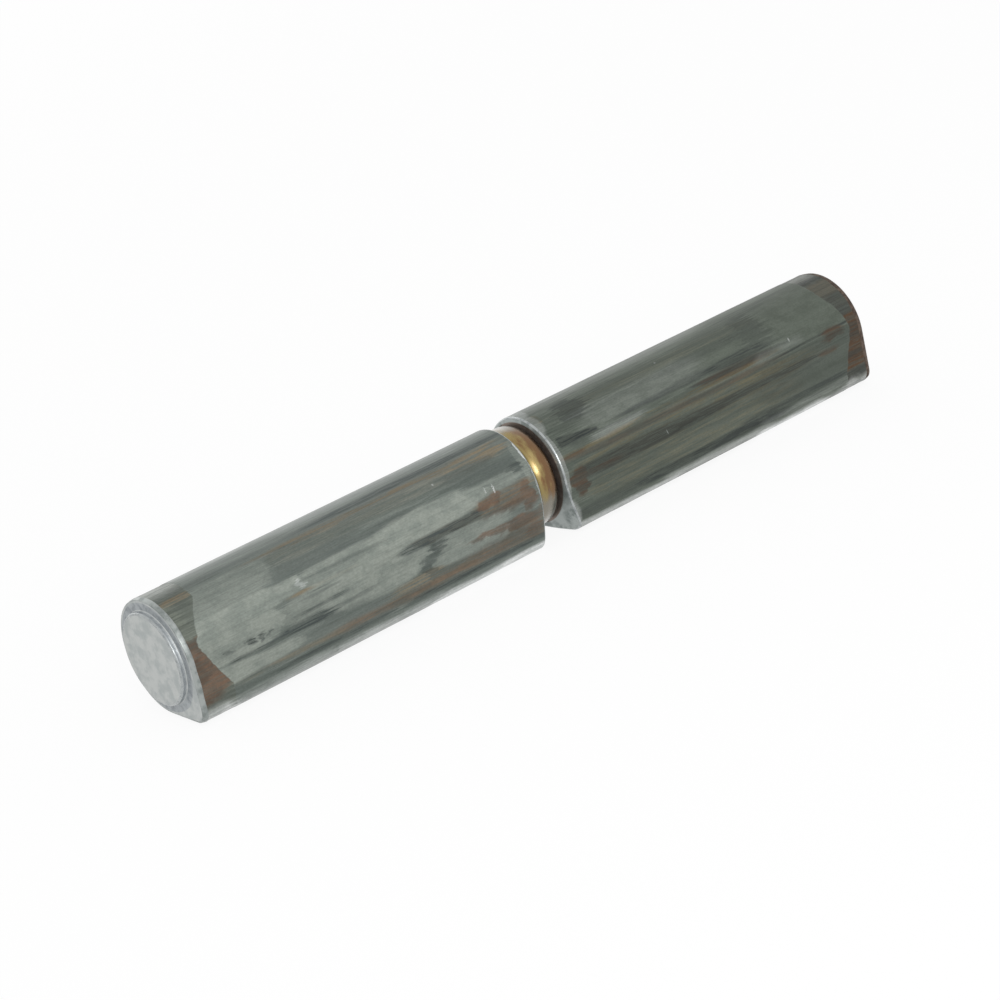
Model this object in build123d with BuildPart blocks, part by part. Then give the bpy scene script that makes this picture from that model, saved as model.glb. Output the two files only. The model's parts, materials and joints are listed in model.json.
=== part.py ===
from build123d import *
from math import cos, radians, sin, tan
import os

# Weld-on lift-off barrel hinge: two drop-section steel knuckles, the pin pressed into
# the lower one, and the brass thrust washer between them. The hinge lies on one weld
# flank with its axis along X, lower knuckle towards -X, Z up, origin under the middle.
# All sizes are in millimetres.

# ---- drop section, the same for both knuckles -------------------------------
barrel_dia = 20.0             # round back
weld_corner_angle = 90.0      # between the two flat weld flanks, degrees
weld_corner_radius = 2.5      # rounding along the weld corner

# ---- lengths along the hinge axis -------------------------------------------
closed_length = 150.0         # end to end with the halves closed on the washer
washer_thickness = 4.2
parted_gap = 0.7              # as it lies, the upper half is this far off the washer

# ---- closed outer ends ------------------------------------------------------
end_disc_dia = 16.0           # coined disc standing proud of the closed end
end_disc_height = 1.0
end_disc_rim_radius = 0.4     # rounding round the disc's rim
end_bevel_width = 0.95        # bevel round the closed end, measured along the barrel
end_bevel_depth = 0.25        # and in from its side

# ---- hinge side ends --------------------------------------------------------
face_dia = 18.4               # flat running face left inside the turned bevel
face_bevel_angle = 22.0       # bevel across the weld corner, measured from the face

# ---- pin, bores and washer --------------------------------------------------
pin_dia = 12.0
pin_pressed_length = 40.0     # held in the lower knuckle
pin_running_length = 43.0     # stands past the washer
pin_lead_chamfer = 1.2        # on the running end
pin_root_chamfer = 0.6        # on the pressed end
running_clearance = 0.05      # radial play of the pin in the upper knuckle and washer
bore_end_space = 1.5          # room left past each end of the pin
drill_point_angle = 118.0
bore_mouth_chamfer = 0.5
washer_dia = 18.2             # over the crown of the rounded rim
washer_side_dia = 16.8        # flat side faces inside the rounded rim
washer_bore_chamfer = 0.4

# ---- worked out from the above ----------------------------------------------
barrel_r = barrel_dia / 2
pin_r = pin_dia / 2
face_r = face_dia / 2
corner_reach = barrel_r / sin(radians(weld_corner_angle / 2))
half_length = (closed_length - washer_thickness) / 2
lower_face_x = -(washer_thickness + parted_gap) / 2
upper_face_x = -lower_face_x
shoulder_x = lower_face_x - half_length + end_disc_height
hinge_axis = Axis((0, 0, barrel_r), (1, 0, 0))


def drop_section(x):
    """Drop-shaped cross-section at x: the round back and two flanks meeting at the weld corner."""
    corner_bearing = 180 + weld_corner_angle / 2
    lean = 90 - weld_corner_angle / 2

    def around(distance, bearing):
        turn = radians(bearing)
        return (distance * cos(turn), barrel_r + distance * sin(turn))

    with BuildSketch(Plane.YZ.offset(x)) as section:
        with Locations((0, barrel_r)):
            Circle(barrel_r)
        with BuildLine():
            Polyline(
                (0, barrel_r),
                around(barrel_r, corner_bearing + lean),
                around(corner_reach, corner_bearing),
                around(barrel_r, corner_bearing - lean),
                close=True,
            )
        make_face()
        weld_corner = section.vertices().sort_by_distance((x, 0, barrel_r))[-1]
        fillet(weld_corner, weld_corner_radius)
    return section.sketch


def bore_section(mouth_x, inward, radius, depth):
    """Half section of a blind drilled bore from its chamfered mouth to the drill point."""
    point_length = radius / tan(radians(drill_point_angle / 2))
    with BuildSketch(Plane.XZ) as section:
        with BuildLine():
            Polyline(
                (mouth_x, barrel_r),
                (mouth_x, barrel_r + radius + bore_mouth_chamfer),
                (mouth_x + inward * bore_mouth_chamfer, barrel_r + radius),
                (mouth_x + inward * depth, barrel_r + radius),
                (mouth_x + inward * (depth + point_length), barrel_r),
                close=True,
            )
        make_face()
    return section.sketch


# ---- knuckle blank, shown as the lower one: cold-formed body and turned face ----
with BuildPart() as knuckle_blank:
    extrude(drop_section(shoulder_x), amount=lower_face_x - shoulder_x)
    closed_end = knuckle_blank.faces().sort_by(Axis.X)[0]
    chamfer(closed_end.edges(), end_bevel_depth, end_bevel_width, reference=closed_end)

    # coined disc on the closed end
    with BuildSketch(Plane.YZ.offset(shoulder_x)):
        with Locations((0, barrel_r)):
            Circle(end_disc_dia / 2)
    extrude(amount=-end_disc_height)
    disc_rim = knuckle_blank.edges().filter_by(GeomType.CIRCLE).sort_by(Axis.X)[0]
    fillet(disc_rim, end_disc_rim_radius)

    # turned bevel that takes the weld corner back from the running face
    bevel_top = corner_reach + 1
    bevel_run = (bevel_top - face_r) * tan(radians(face_bevel_angle))
    with BuildSketch(Plane.XZ):
        with BuildLine():
            Polyline(
                (lower_face_x, barrel_r + face_r),
                (lower_face_x, barrel_r + bevel_top),
                (lower_face_x - bevel_run, barrel_r + bevel_top),
                close=True,
            )
        make_face()
    revolve(axis=hinge_axis, mode=Mode.SUBTRACT)

# ---- lower knuckle: bore that grips the pin ----
with BuildPart() as lower_knuckle:
    add(knuckle_blank.part)
    add(bore_section(lower_face_x, -1, pin_r, pin_pressed_length + bore_end_space))
    revolve(axis=hinge_axis, mode=Mode.SUBTRACT)

# ---- upper knuckle: the same blank turned end for end, with the running bore ----
with BuildPart() as upper_knuckle:
    add(mirror(knuckle_blank.part, about=Plane.YZ))
    add(
        bore_section(
            upper_face_x, 1, pin_r + running_clearance, pin_running_length + bore_end_space
        )
    )
    revolve(axis=hinge_axis, mode=Mode.SUBTRACT)

# ---- pin, pressed home in the lower knuckle ----
with BuildPart() as hinge_pin:
    pin_root_x = lower_face_x - pin_pressed_length
    with BuildSketch(Plane.YZ.offset(pin_root_x)):
        with Locations((0, barrel_r)):
            Circle(pin_r)
    extrude(amount=pin_pressed_length + washer_thickness + pin_running_length)
    chamfer(hinge_pin.edges().sort_by(Axis.X)[0], pin_root_chamfer)
    chamfer(hinge_pin.edges().sort_by(Axis.X)[-1], pin_lead_chamfer)

# ---- brass thrust washer with a crowned rim, against the lower knuckle's face ----
with BuildPart() as thrust_washer:
    bore_z = barrel_r + pin_r + running_clearance
    washer_end_x = lower_face_x + washer_thickness
    with BuildSketch(Plane.XZ):
        with BuildLine():
            Line((washer_end_x, bore_z), (lower_face_x, bore_z))
            Line((lower_face_x, bore_z), (lower_face_x, barrel_r + washer_side_dia / 2))
            ThreePointArc(
                (lower_face_x, barrel_r + washer_side_dia / 2),
                (lower_face_x + washer_thickness / 2, barrel_r + washer_dia / 2),
                (washer_end_x, barrel_r + washer_side_dia / 2),
            )
            Line((washer_end_x, barrel_r + washer_side_dia / 2), (washer_end_x, bore_z))
        make_face()
    revolve(axis=hinge_axis)
    bore_edges = thrust_washer.edges().filter_by(
        lambda e: e.geom_type == GeomType.CIRCLE
        and abs(e.radius - pin_r - running_clearance) < 1e-6
    )
    chamfer(bore_edges, washer_bore_chamfer)

# ---- write the pieces ----
os.makedirs("parts", exist_ok=True)

lower_knuckle.part.label = "lower_knuckle"
export_step(lower_knuckle.part, "parts/lower_knuckle.step")

hinge_pin.part.label = "hinge_pin"
export_step(hinge_pin.part, "parts/hinge_pin.step")

thrust_washer.part.label = "thrust_washer"
export_step(thrust_washer.part, "parts/thrust_washer.step")

upper_knuckle.part.label = "upper_knuckle"
export_step(upper_knuckle.part, "parts/upper_knuckle.step")
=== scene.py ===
"""Weld-on barrel hinge: the looks of its two drop-section knuckles, brass thrust washer and pin.

The hinge axis lies along X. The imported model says, in metres, where each piece starts and stops
along it. Sizes in this file are in millimetres and are turned to metres where an object is made.
"""

from __future__ import annotations

import json
import logging
import math
from dataclasses import dataclass, field
from enum import Enum, IntEnum

import bpy
import numpy as np
from mathutils import Matrix, Vector

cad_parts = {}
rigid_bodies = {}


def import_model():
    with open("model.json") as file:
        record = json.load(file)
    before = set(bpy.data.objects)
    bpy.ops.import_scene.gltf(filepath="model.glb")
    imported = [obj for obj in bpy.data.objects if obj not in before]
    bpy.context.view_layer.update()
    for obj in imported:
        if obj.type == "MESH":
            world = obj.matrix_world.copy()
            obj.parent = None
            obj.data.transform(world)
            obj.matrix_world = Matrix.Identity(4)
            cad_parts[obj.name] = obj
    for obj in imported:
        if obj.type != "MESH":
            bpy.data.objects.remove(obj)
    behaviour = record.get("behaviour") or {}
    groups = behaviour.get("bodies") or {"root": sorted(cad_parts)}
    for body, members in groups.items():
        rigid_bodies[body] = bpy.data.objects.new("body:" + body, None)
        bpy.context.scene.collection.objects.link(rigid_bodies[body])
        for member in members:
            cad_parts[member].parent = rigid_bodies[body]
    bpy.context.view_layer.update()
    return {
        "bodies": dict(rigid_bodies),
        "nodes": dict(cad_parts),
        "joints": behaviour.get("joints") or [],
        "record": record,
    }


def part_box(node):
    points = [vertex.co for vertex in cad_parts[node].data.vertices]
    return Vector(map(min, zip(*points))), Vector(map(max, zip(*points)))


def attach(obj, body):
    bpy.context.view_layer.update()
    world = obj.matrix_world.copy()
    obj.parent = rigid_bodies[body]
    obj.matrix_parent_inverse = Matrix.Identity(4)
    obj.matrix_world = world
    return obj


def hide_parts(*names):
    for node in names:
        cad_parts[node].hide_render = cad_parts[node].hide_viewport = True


LOG = logging.getLogger("barrel_hinge")
MM = 0.001
CORNER_BEARING = 225.0        # the weld corner points down and towards -Y, degrees
DEGREES_PER_MM = 5.7          # on a 10 mm radius
NOISE_SWING = 4.0             # turns a noise's usual quarter either side of 0.5 to 1
ROUND_SHARE = 0.95            # of a patch's half length and half width, given to its rounding

# What can feed an input: a socket, or a node by its first output.
Feed = bpy.types.NodeSocket | bpy.types.Node


def linear(hex_colour: str) -> tuple[float, float, float, float]:
    """Turn an sRGB hex colour into a linear one with full alpha.

    Args:
        hex_colour: colour such as "#8c918a".

    Returns:
        Linear red, green, blue and alpha.
    """
    digits = hex_colour.lstrip("#")
    parts = [int(digits[i : i + 2], 16) / 255 for i in (0, 2, 4)]
    rgb = [c / 12.92 if c <= 0.04045 else ((c + 0.055) / 1.055) ** 2.4 for c in parts]
    return (rgb[0], rgb[1], rgb[2], 1.0)


def add_node(
    tree: bpy.types.NodeTree,
    kind: str,
    inputs: dict[int | str, object] | None = None,
    **settings: object,
) -> bpy.types.Node:
    """Add one shader node with its settings, and set or link its inputs.

    Args:
        tree: node tree that gets the node.
        kind: type name without its ShaderNode prefix.
        inputs: input name or index, with a value or what feeds it.
        **settings: properties of the node itself.

    Returns:
        The new node.
    """
    made = tree.nodes.new("ShaderNode" + kind)
    for name, setting in settings.items():
        setattr(made, name, setting)
    for key, value in (inputs or {}).items():
        if isinstance(value, bpy.types.Node):
            value = value.outputs[0]
        if isinstance(value, bpy.types.NodeSocket):
            tree.links.new(value, made.inputs[key])
        else:
            made.inputs[key].default_value = value
    return made


def blank_material(name: str) -> tuple[bpy.types.Material, bpy.types.NodeTree]:
    """Make a material without nodes.

    Args:
        name: the material's name.

    Returns:
        The material and its empty node tree.
    """
    made = bpy.data.materials.new(name)
    made.use_nodes = True
    made.node_tree.nodes.clear()
    return made, made.node_tree


def noise_field(u: np.ndarray, v: np.ndarray, seed: int, wrap: int = 0) -> np.ndarray:
    """Smooth seeded noise on a plane, between -1 and 1.

    Args:
        u: first coordinate, in cells.
        v: second coordinate, in cells.
        seed: seed of the lattice.
        wrap: number of cells after which v repeats, or 0 for no repeat.

    Returns:
        Noise value at each point.
    """
    rows, columns = 257, wrap or 256
    lattice = np.random.default_rng(seed).uniform(-1, 1, (rows, columns))
    iu, iv = np.floor(u).astype(int), np.floor(v).astype(int)
    fu, fv = u - iu, v - iv
    fu, fv = fu * fu * (3 - 2 * fu), fv * fv * (3 - 2 * fv)

    def corner(du: int, dv: int) -> np.ndarray:
        """Lattice value at a corner of each point's cell."""
        return lattice[(iu + du) % rows, (iv + dv) % columns]

    low = corner(0, 0) * (1 - fv) + corner(0, 1) * fv
    high = corner(1, 0) * (1 - fv) + corner(1, 1) * fv
    return low * (1 - fu) + high * fu


def smooth_step(x: np.ndarray, low: float, high: float) -> np.ndarray:
    """Rise smoothly from 0 at low to 1 at high.

    Args:
        x: values.
        low: where the rise starts.
        high: where it ends.

    Returns:
        The step's value at each x.
    """
    t = np.clip((x - low) / (high - low), 0, 1)
    return t * t * (3 - 2 * t)


class Half(Enum):
    """Which way a knuckle points from the middle of the hinge."""

    LOWER = -1
    UPPER = 1


class Mark(Enum):
    """What has happened to a stretch of drawn steel, in the order in which it came."""

    FILM = "brown film"
    WIPED = "wiped paler"
    # dark scale, and also painted shade: the band where the top's sheen falls away and the line before the
    # weld corner
    DARK = "dark scale"
    RUST = "rust"
    # rubbed bare, and also painted highlights and sheen: the weld corner, the top, the lower lip's burr
    # and the top of the closed end
    BARE = "rubbed bare"


class Zone(Enum):
    """Which steel a patch lies on: the smooth skin, the unfilled end, or both."""

    SKIN = "skin"
    END = "end"
    BOTH = "both"


@dataclass(frozen=True)
class DropSection:
    """Cross-section of the barrel: a round back and two flats meeting at the weld corner.

    Attributes:
        radius: radius of the round back, mm.
        corner_angle: angle between the flats, degrees.
        corner_radius: rounding of the weld corner, mm.
    """

    radius: float = 10.0
    corner_angle: float = 90.0
    corner_radius: float = 2.5

    def reach(self, off_corner: np.ndarray, inset: float = 0.0) -> np.ndarray:
        """Distance from the axis to the outline.

        Args:
            off_corner: angle from the weld corner's direction, radians.
            inset: how far the outline is drawn in, mm.

        Returns:
            Distance in mm.
        """
        radius, rounding = self.radius - inset, self.corner_radius - inset
        half = math.radians(self.corner_angle) / 2
        a = np.abs(off_corner)
        # 1.5 radians is short of a right angle, where the cosine would be 0
        flat = radius / np.cos(np.minimum(np.abs(math.pi / 2 - half - a), 1.5))
        centre = (radius - rounding) / math.sin(half)
        nose = centre * np.cos(a) + np.sqrt(np.maximum(rounding**2 - (centre * np.sin(a)) ** 2, 0))
        nose_end = math.atan2(rounding * math.cos(half), centre + rounding * math.sin(half))
        out = np.where(a < math.pi / 2 - half, flat, radius)
        return np.where(a < nose_end, nose, out)

    def bearings(self, count: int) -> np.ndarray:
        """Angles from the weld corner that spread points evenly, closer on the rounded corner.

        Args:
            count: number of points.

        Returns:
            Angles in radians, from -pi up to pi.
        """
        fine = np.linspace(-math.pi, math.pi, 20001)
        reach = self.reach(fine)
        step = np.hypot(np.diff(reach * np.cos(fine)), np.diff(reach * np.sin(fine)))
        mid = (fine[1:] + fine[:-1]) / 2
        # three times as close within 0.08 radians of the corner
        step = step * (1 + 2.0 * (1 - smooth_step(np.abs(mid), 0.08, 0.2)))
        run = np.concatenate([[0], np.cumsum(step)])
        return np.interp(np.arange(count) / count * run[-1], run, fine)


@dataclass
class RingMesh:
    """A closed surface made of rings of points about the hinge axis.

    Attributes:
        bearings: angle of each point of a ring from the first bearing, radians.
        first_bearing: degrees from +Y towards +Z.
        axis_height: height of the hinge axis, mm.
        rings: the points of each ring, mm.
        band_slots: material slot of the band of faces before each ring.
    """

    bearings: np.ndarray
    first_bearing: float
    axis_height: float
    rings: list[np.ndarray] = field(default_factory=list)
    band_slots: list[int] = field(default_factory=list)

    def ring(self, x: np.ndarray | float, distance: np.ndarray | float, slot: int = 0) -> None:
        """Add a ring and the band of faces that leads to it.

        Args:
            x: place along the axis, mm, one value or one per point.
            distance: distance from the axis, mm, one value or one per point.
            slot: material slot of the band before this ring.
        """
        turn = self.bearings + math.radians(self.first_bearing)
        away = np.broadcast_to(distance, turn.shape)
        along = np.broadcast_to(x, turn.shape)
        self.rings.append(
            np.column_stack([along, away * np.cos(turn), self.axis_height + away * np.sin(turn)])
        )
        self.band_slots.append(slot)

    def build(
        self,
        name: str,
        poles: tuple[float, float] | None,
        materials: list[bpy.types.Material],
        flip: bool,
    ) -> bpy.types.Object:
        """Join the rings into a mesh object.

        Args:
            name: name of the object.
            poles: x of the points that close the first and last ring, or None where the
                last ring joins the first.
            materials: the object's materials, by slot.
            flip: turn the faces over.

        Returns:
            The object, linked to the scene.
        """
        count, total = len(self.bearings), len(self.rings)
        points = np.concatenate(self.rings)
        index = np.arange(total * count).reshape(total, count)
        after = np.roll(index, -1, axis=1)
        bands = [
            np.stack([index[i], after[i], after[j], index[j]], axis=1)
            for i, j in zip(range(total - 1), range(1, total))
        ]
        slots = [np.full(count, s) for s in self.band_slots[1:]]
        if poles is None:
            bands.append(np.stack([index[-1], after[-1], after[0], index[0]], axis=1))
            slots.append(np.full(count, self.band_slots[0]))
        faces: list[list[int]] = np.concatenate(bands).tolist()
        face_slots = np.concatenate(slots).tolist()
        if poles is not None:
            tips = [[x, 0.0, self.axis_height] for x in poles]
            points = np.concatenate([points, tips])
            first, last = total * count, total * count + 1
            faces += [[first, int(b), int(a)] for a, b in zip(index[0], after[0])]
            faces += [[last, int(a), int(b)] for a, b in zip(index[-1], after[-1])]
            face_slots += [self.band_slots[0]] * count + [self.band_slots[-1]] * count
        if flip:
            faces = [f[::-1] for f in faces]
        mesh = bpy.data.meshes.new(name)
        mesh.from_pydata((points * MM).tolist(), [], faces)
        for material in materials:
            mesh.materials.append(material)
        mesh.polygons.foreach_set("material_index", face_slots)
        mesh.polygons.foreach_set("use_smooth", [True] * len(faces))
        mesh.update()
        made = bpy.data.objects.new(name, mesh)
        bpy.context.collection.objects.link(made)
        return made


@dataclass(frozen=True)
class Grain:
    """A noise drawn out along the bar.

    Attributes:
        along: size of one feature along the bar, mm.
        across: its size across the bar, mm.
        detail: number of finer layers.
        shift: where in the noise it is read, so that two grains differ.
    """

    along: float
    across: float
    detail: float = 3.0
    shift: float = 0.0

    def feed(self, tree: bpy.types.NodeTree, point: Feed) -> Feed:
        """Make the noise.

        Args:
            tree: node tree that gets it.
            point: place in mm.

        Returns:
            Noise value, 0.5 in the mean.
        """
        per_mm = (1 / self.along, 1 / self.across, 1 / self.across)
        squeezed = add_node(
            tree,
            "VectorMath",
            {0: point, 1: per_mm, 2: (self.shift, self.shift, self.shift)},
            operation="MULTIPLY_ADD",
        )
        return add_node(
            tree,
            "TexNoise",
            {"Vector": squeezed, "Scale": 1.0, "Detail": self.detail, "Roughness": 0.6},
        )


@dataclass(frozen=True)
class AxisPlace:
    """Feeds that say where a point lies about the hinge axis.

    Attributes:
        point: the point, mm.
        along: its x, mm.
        away: its distance from the axis, mm.
        bearing: its bearing about the axis, degrees.
    """

    point: Feed
    along: Feed
    away: Feed
    bearing: Feed

    @classmethod
    def of(
        cls, tree: bpy.types.NodeTree, axis_height: float, from_bearing: float = 0.0
    ) -> "AxisPlace":
        """Make the feeds.

        Args:
            tree: node tree that gets them.
            axis_height: height of the hinge axis, mm.
            from_bearing: bearing that counts as 0, degrees from +Y towards +Z.

        Returns:
            The point, its x, its distance from the axis and its bearing.
        """
        coordinate = add_node(tree, "TexCoord")
        point = add_node(
            tree,
            "VectorMath",
            {0: coordinate.outputs["Object"], "Scale": 1 / MM},
            operation="SCALE",
        )
        centred = add_node(
            tree, "VectorMath", {0: point, 1: (0, 0, axis_height)}, operation="SUBTRACT"
        )
        flat = add_node(tree, "VectorMath", {0: centred, 1: (0, 1, 1)}, operation="MULTIPLY")
        away = add_node(tree, "VectorMath", {0: flat}, operation="LENGTH").outputs["Value"]
        towards, across = (
            add_node(
                tree,
                "VectorMath",
                {0: flat, 1: (0, math.cos(math.radians(turn)), math.sin(math.radians(turn)))},
                operation="DOT_PRODUCT",
            ).outputs["Value"]
            for turn in (from_bearing, from_bearing + 90)
        )
        angle = add_node(tree, "Math", {0: across, 1: towards}, operation="ARCTAN2")
        bearing = add_node(tree, "Math", {0: angle, 1: 180 / math.pi}, operation="MULTIPLY")
        along = add_node(tree, "SeparateXYZ", {0: point}).outputs["X"]
        return cls(point, along, away, bearing)


@dataclass(frozen=True)
class Places:
    """Feeds that say where on a knuckle a point lies, and the noises that ruffle it.

    Attributes:
        along: distance from the running face, mm.
        off_corner: angle from the weld corner, degrees.
        lines: fine lines from the drawing die.
        streaks: broader streaks along the bar.
        bands: long bands of tone.
        blots: small blots, nearly round.
        sway: slow wander of a mark's long edges.
        grit: grain of the scale.
    """

    along: Feed
    off_corner: Feed
    lines: Feed
    streaks: Feed
    bands: Feed
    blots: Feed
    sway: Feed
    grit: Feed

    @classmethod
    def on_knuckle(
        cls, tree: bpy.types.NodeTree, axis_height: float, face_x: float, side: Half
    ) -> "Places":
        """Make the feeds for one knuckle.

        Args:
            tree: node tree that gets them.
            axis_height: height of the hinge axis, mm.
            face_x: distance of the running face from the middle of the hinge, mm.
            side: which way the knuckle points.

        Returns:
            The distance from the running face in mm, the angle from the weld corner in
            degrees, and the noises.
        """
        spot = AxisPlace.of(tree, axis_height, CORNER_BEARING)
        along = add_node(
            tree,
            "Math",
            {0: spot.along, 1: float(side.value), 2: -face_x},
            operation="MULTIPLY_ADD",
        )
        # real die lines are finer than 0.1 mm and its grit finer still: both are drawn as coarse
        # as they have to be to show at arm's length
        noises = {
            name: grain.feed(tree, spot.point)
            for name, grain in (
                ("lines", Grain(5.0, 0.2, 3.0)),
                ("streaks", Grain(14.0, 0.5, 3.0, 5.2)),
                ("bands", Grain(50.0, 2.6, 3.0, 9.7)),
                ("blots", Grain(2.6, 1.8, 3.0, 3.1)),
                ("sway", Grain(17.0, 2.5, 2.0, 7.4)),
                ("grit", Grain(0.45, 0.3, 3.0, 1.3)),
            )
        }
        return cls(along, spot.bearing, **noises)


@dataclass(frozen=True)
class Underfill:
    """The closed end, where the steel never filled the die and stayed rough and brown.

    Attributes:
        reach: farthest the smooth skin runs from the running face, mm.
        middle: angle off the weld corner where it runs farthest, degrees.
        spread: how far from that angle its border goes on falling back, degrees.
        retreat: how much sooner it stops there, mm.
        curve: 1 for straight borders, more for rounder ones.
        depth: how far the unfilled steel lies below the smooth skin, mm.
        ragged: reach of the blots that push its border in and out, mm.
        soft: half the width of the border, mm.
    """

    reach: float
    middle: float = 62.0
    spread: float = 45.0
    retreat: float = 3.9
    curve: float = 1.35
    depth: float = 0.07
    ragged: float = 1.1
    soft: float = 0.12

    def border(self, off_corner: np.ndarray) -> np.ndarray:
        """Where the smooth skin stops, mm from the running face.

        Args:
            off_corner: angle from the weld corner, radians.

        Returns:
            Distance in mm.
        """
        off_middle = np.abs(np.degrees(np.abs(off_corner)) - self.middle)
        return self.reach - self.retreat * np.minimum(off_middle / self.spread, 1.0) ** self.curve

    def mask(self, tree: bpy.types.NodeTree, places: Places) -> Feed:
        """Mask of the unfilled steel.

        Args:
            tree: node tree that gets it.
            places: where a point lies.

        Returns:
            1 on unfilled steel and 0 on the smooth skin.
        """
        turned = places.off_corner
        for operation, value in (
            ("ABSOLUTE", 0.0),
            ("SUBTRACT", self.middle),
            ("ABSOLUTE", 0.0),
            ("MULTIPLY", 1 / self.spread),
            ("MINIMUM", 1.0),
            ("POWER", self.curve),
        ):
            turned = add_node(tree, "Math", {0: turned, 1: value}, operation=operation)
        past = places.along
        for push, reach in ((turned, self.retreat), (places.blots, self.ragged)):
            past = add_node(tree, "Math", {0: push, 1: reach, 2: past}, operation="MULTIPLY_ADD")
        edge = self.reach + self.ragged / 2
        return add_node(
            tree,
            "MapRange",
            {0: past, 1: edge - self.soft, 2: edge + self.soft},
            interpolation_type="SMOOTHSTEP",
        )


@dataclass(frozen=True)
class Patch:
    """A marked stretch of a knuckle's side.

    Attributes:
        mark: what it shows.
        start: end nearest the running face, mm from that face.
        stop: end nearest the closed end.
        low: lower bearing about the axis, degrees from +Y towards +Z.
        high: higher bearing.
        strength: 0 to 1.
        soft: width of its edges, mm.
        fray: how far streaks run past its ends, mm.
        scallop: how far its ends bulge in and out, mm.
        sway: how far its long edges wander, degrees.
        ragged: how far small blots push its long edges in and out, degrees.
        lean: how far it turns about the axis on its way to the closed end, degrees.
        taper: how much narrower it is at the closed end than in the middle, degrees a side.
        point: how many times longer than wide its rounded ends are.
        zone: which steel it lies on.
    """

    mark: Mark
    start: float
    stop: float
    low: float
    high: float
    strength: float = 1.0
    soft: float = 0.6
    fray: float = 1.0
    scallop: float = 0.6
    sway: float = 1.5
    ragged: float = 0.0
    lean: float = 0.0
    taper: float = 0.0
    point: float = 2.5
    zone: Zone = Zone.SKIN

    def mask(self, tree: bpy.types.NodeTree, places: Places) -> Feed:
        """Mask of the patch on either steel.

        Args:
            tree: node tree that gets it.
            places: where a point lies.

        Returns:
            The patch's strength inside it and 0 outside.
        """
        half_long = (self.stop - self.start) / 2
        half_wide = (self.high - self.low) / 2
        along = self._moved(
            tree,
            places.along,
            (self.start + self.stop) / 2,
            ((places.streaks, NOISE_SWING * self.fray), (places.blots, NOISE_SWING * self.scallop)),
        )
        turned = self._moved(
            tree,
            places.off_corner,
            (self.low + self.high) / 2 - CORNER_BEARING,
            ((places.sway, NOISE_SWING * self.sway), (places.blots, NOISE_SWING * self.ragged)),
        )
        if self.lean:
            turned = add_node(
                tree,
                "Math",
                {0: along, 1: -self.lean / (2 * half_long), 2: turned},
                operation="MULTIPLY_ADD",
            )
        across = add_node(tree, "Math", {0: turned}, operation="ABSOLUTE")
        if self.taper:
            across = add_node(
                tree,
                "Math",
                {0: along, 1: self.taper / half_long, 2: across},
                operation="MULTIPLY_ADD",
            )
        length = add_node(tree, "Math", {0: along}, operation="ABSOLUTE")
        place = add_node(tree, "CombineXYZ", {0: length, 1: across})
        # 0 inside the straight part of the outline, 1 on its rounded ends
        round_wide = ROUND_SHARE * half_wide
        round_long = min(ROUND_SHARE * half_long, self.point * round_wide / DEGREES_PER_MM)
        past = add_node(
            tree,
            "VectorMath",
            {
                0: place,
                1: (1 / round_long, 1 / round_wide, 0),
                2: (1 - half_long / round_long, 1 - half_wide / round_wide, 0),
            },
            operation="MULTIPLY_ADD",
        )
        rounded = add_node(tree, "VectorMath", {0: past, 1: (0, 0, 0)}, operation="MAXIMUM")
        out = add_node(tree, "VectorMath", {0: rounded}, operation="LENGTH").outputs["Value"]
        soft = self.soft / 2 * DEGREES_PER_MM / round_wide
        return add_node(
            tree,
            "MapRange",
            {0: out, 1: max(1 - soft, 0.05), 2: 1 + soft, 3: self.strength, 4: 0.0},
            interpolation_type="SMOOTHSTEP",
        )

    def _moved(
        self,
        tree: bpy.types.NodeTree,
        place: Feed,
        middle: float,
        noises: tuple[tuple[Feed, float], ...],
    ) -> Feed:
        """Measure a place from the patch's middle and ruffle it with noises.

        Args:
            tree: node tree that gets it.
            place: the place.
            middle: the patch's middle.
            noises: each noise with the reach of its push.

        Returns:
            The ruffled distance from the middle.
        """
        shift = -middle - sum(reach for _, reach in noises) / 2
        moved = add_node(tree, "Math", {0: place, 1: shift}, operation="ADD")
        for noise, reach in noises:
            if reach:
                moved = add_node(
                    tree, "Math", {0: noise, 1: reach, 2: moved}, operation="MULTIPLY_ADD"
                )
        return moved


@dataclass(frozen=True)
class Coat:
    """What one mark leaves on the steel.

    Attributes:
        light: its lighter tone.
        deep: its deeper tone.
        whole: share of it left where the drawing streaks break it up most, 0 to 1.
        roughness: what it adds to the steel's roughness.
        metallic: what it adds to how metallic the steel is.
        lined: how clearly the fine drawing lines show in it, 0 to 1.
    """

    light: str
    deep: str
    whole: float
    roughness: float = 0.0
    metallic: float = 0.0
    lined: float = 0.7


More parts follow.
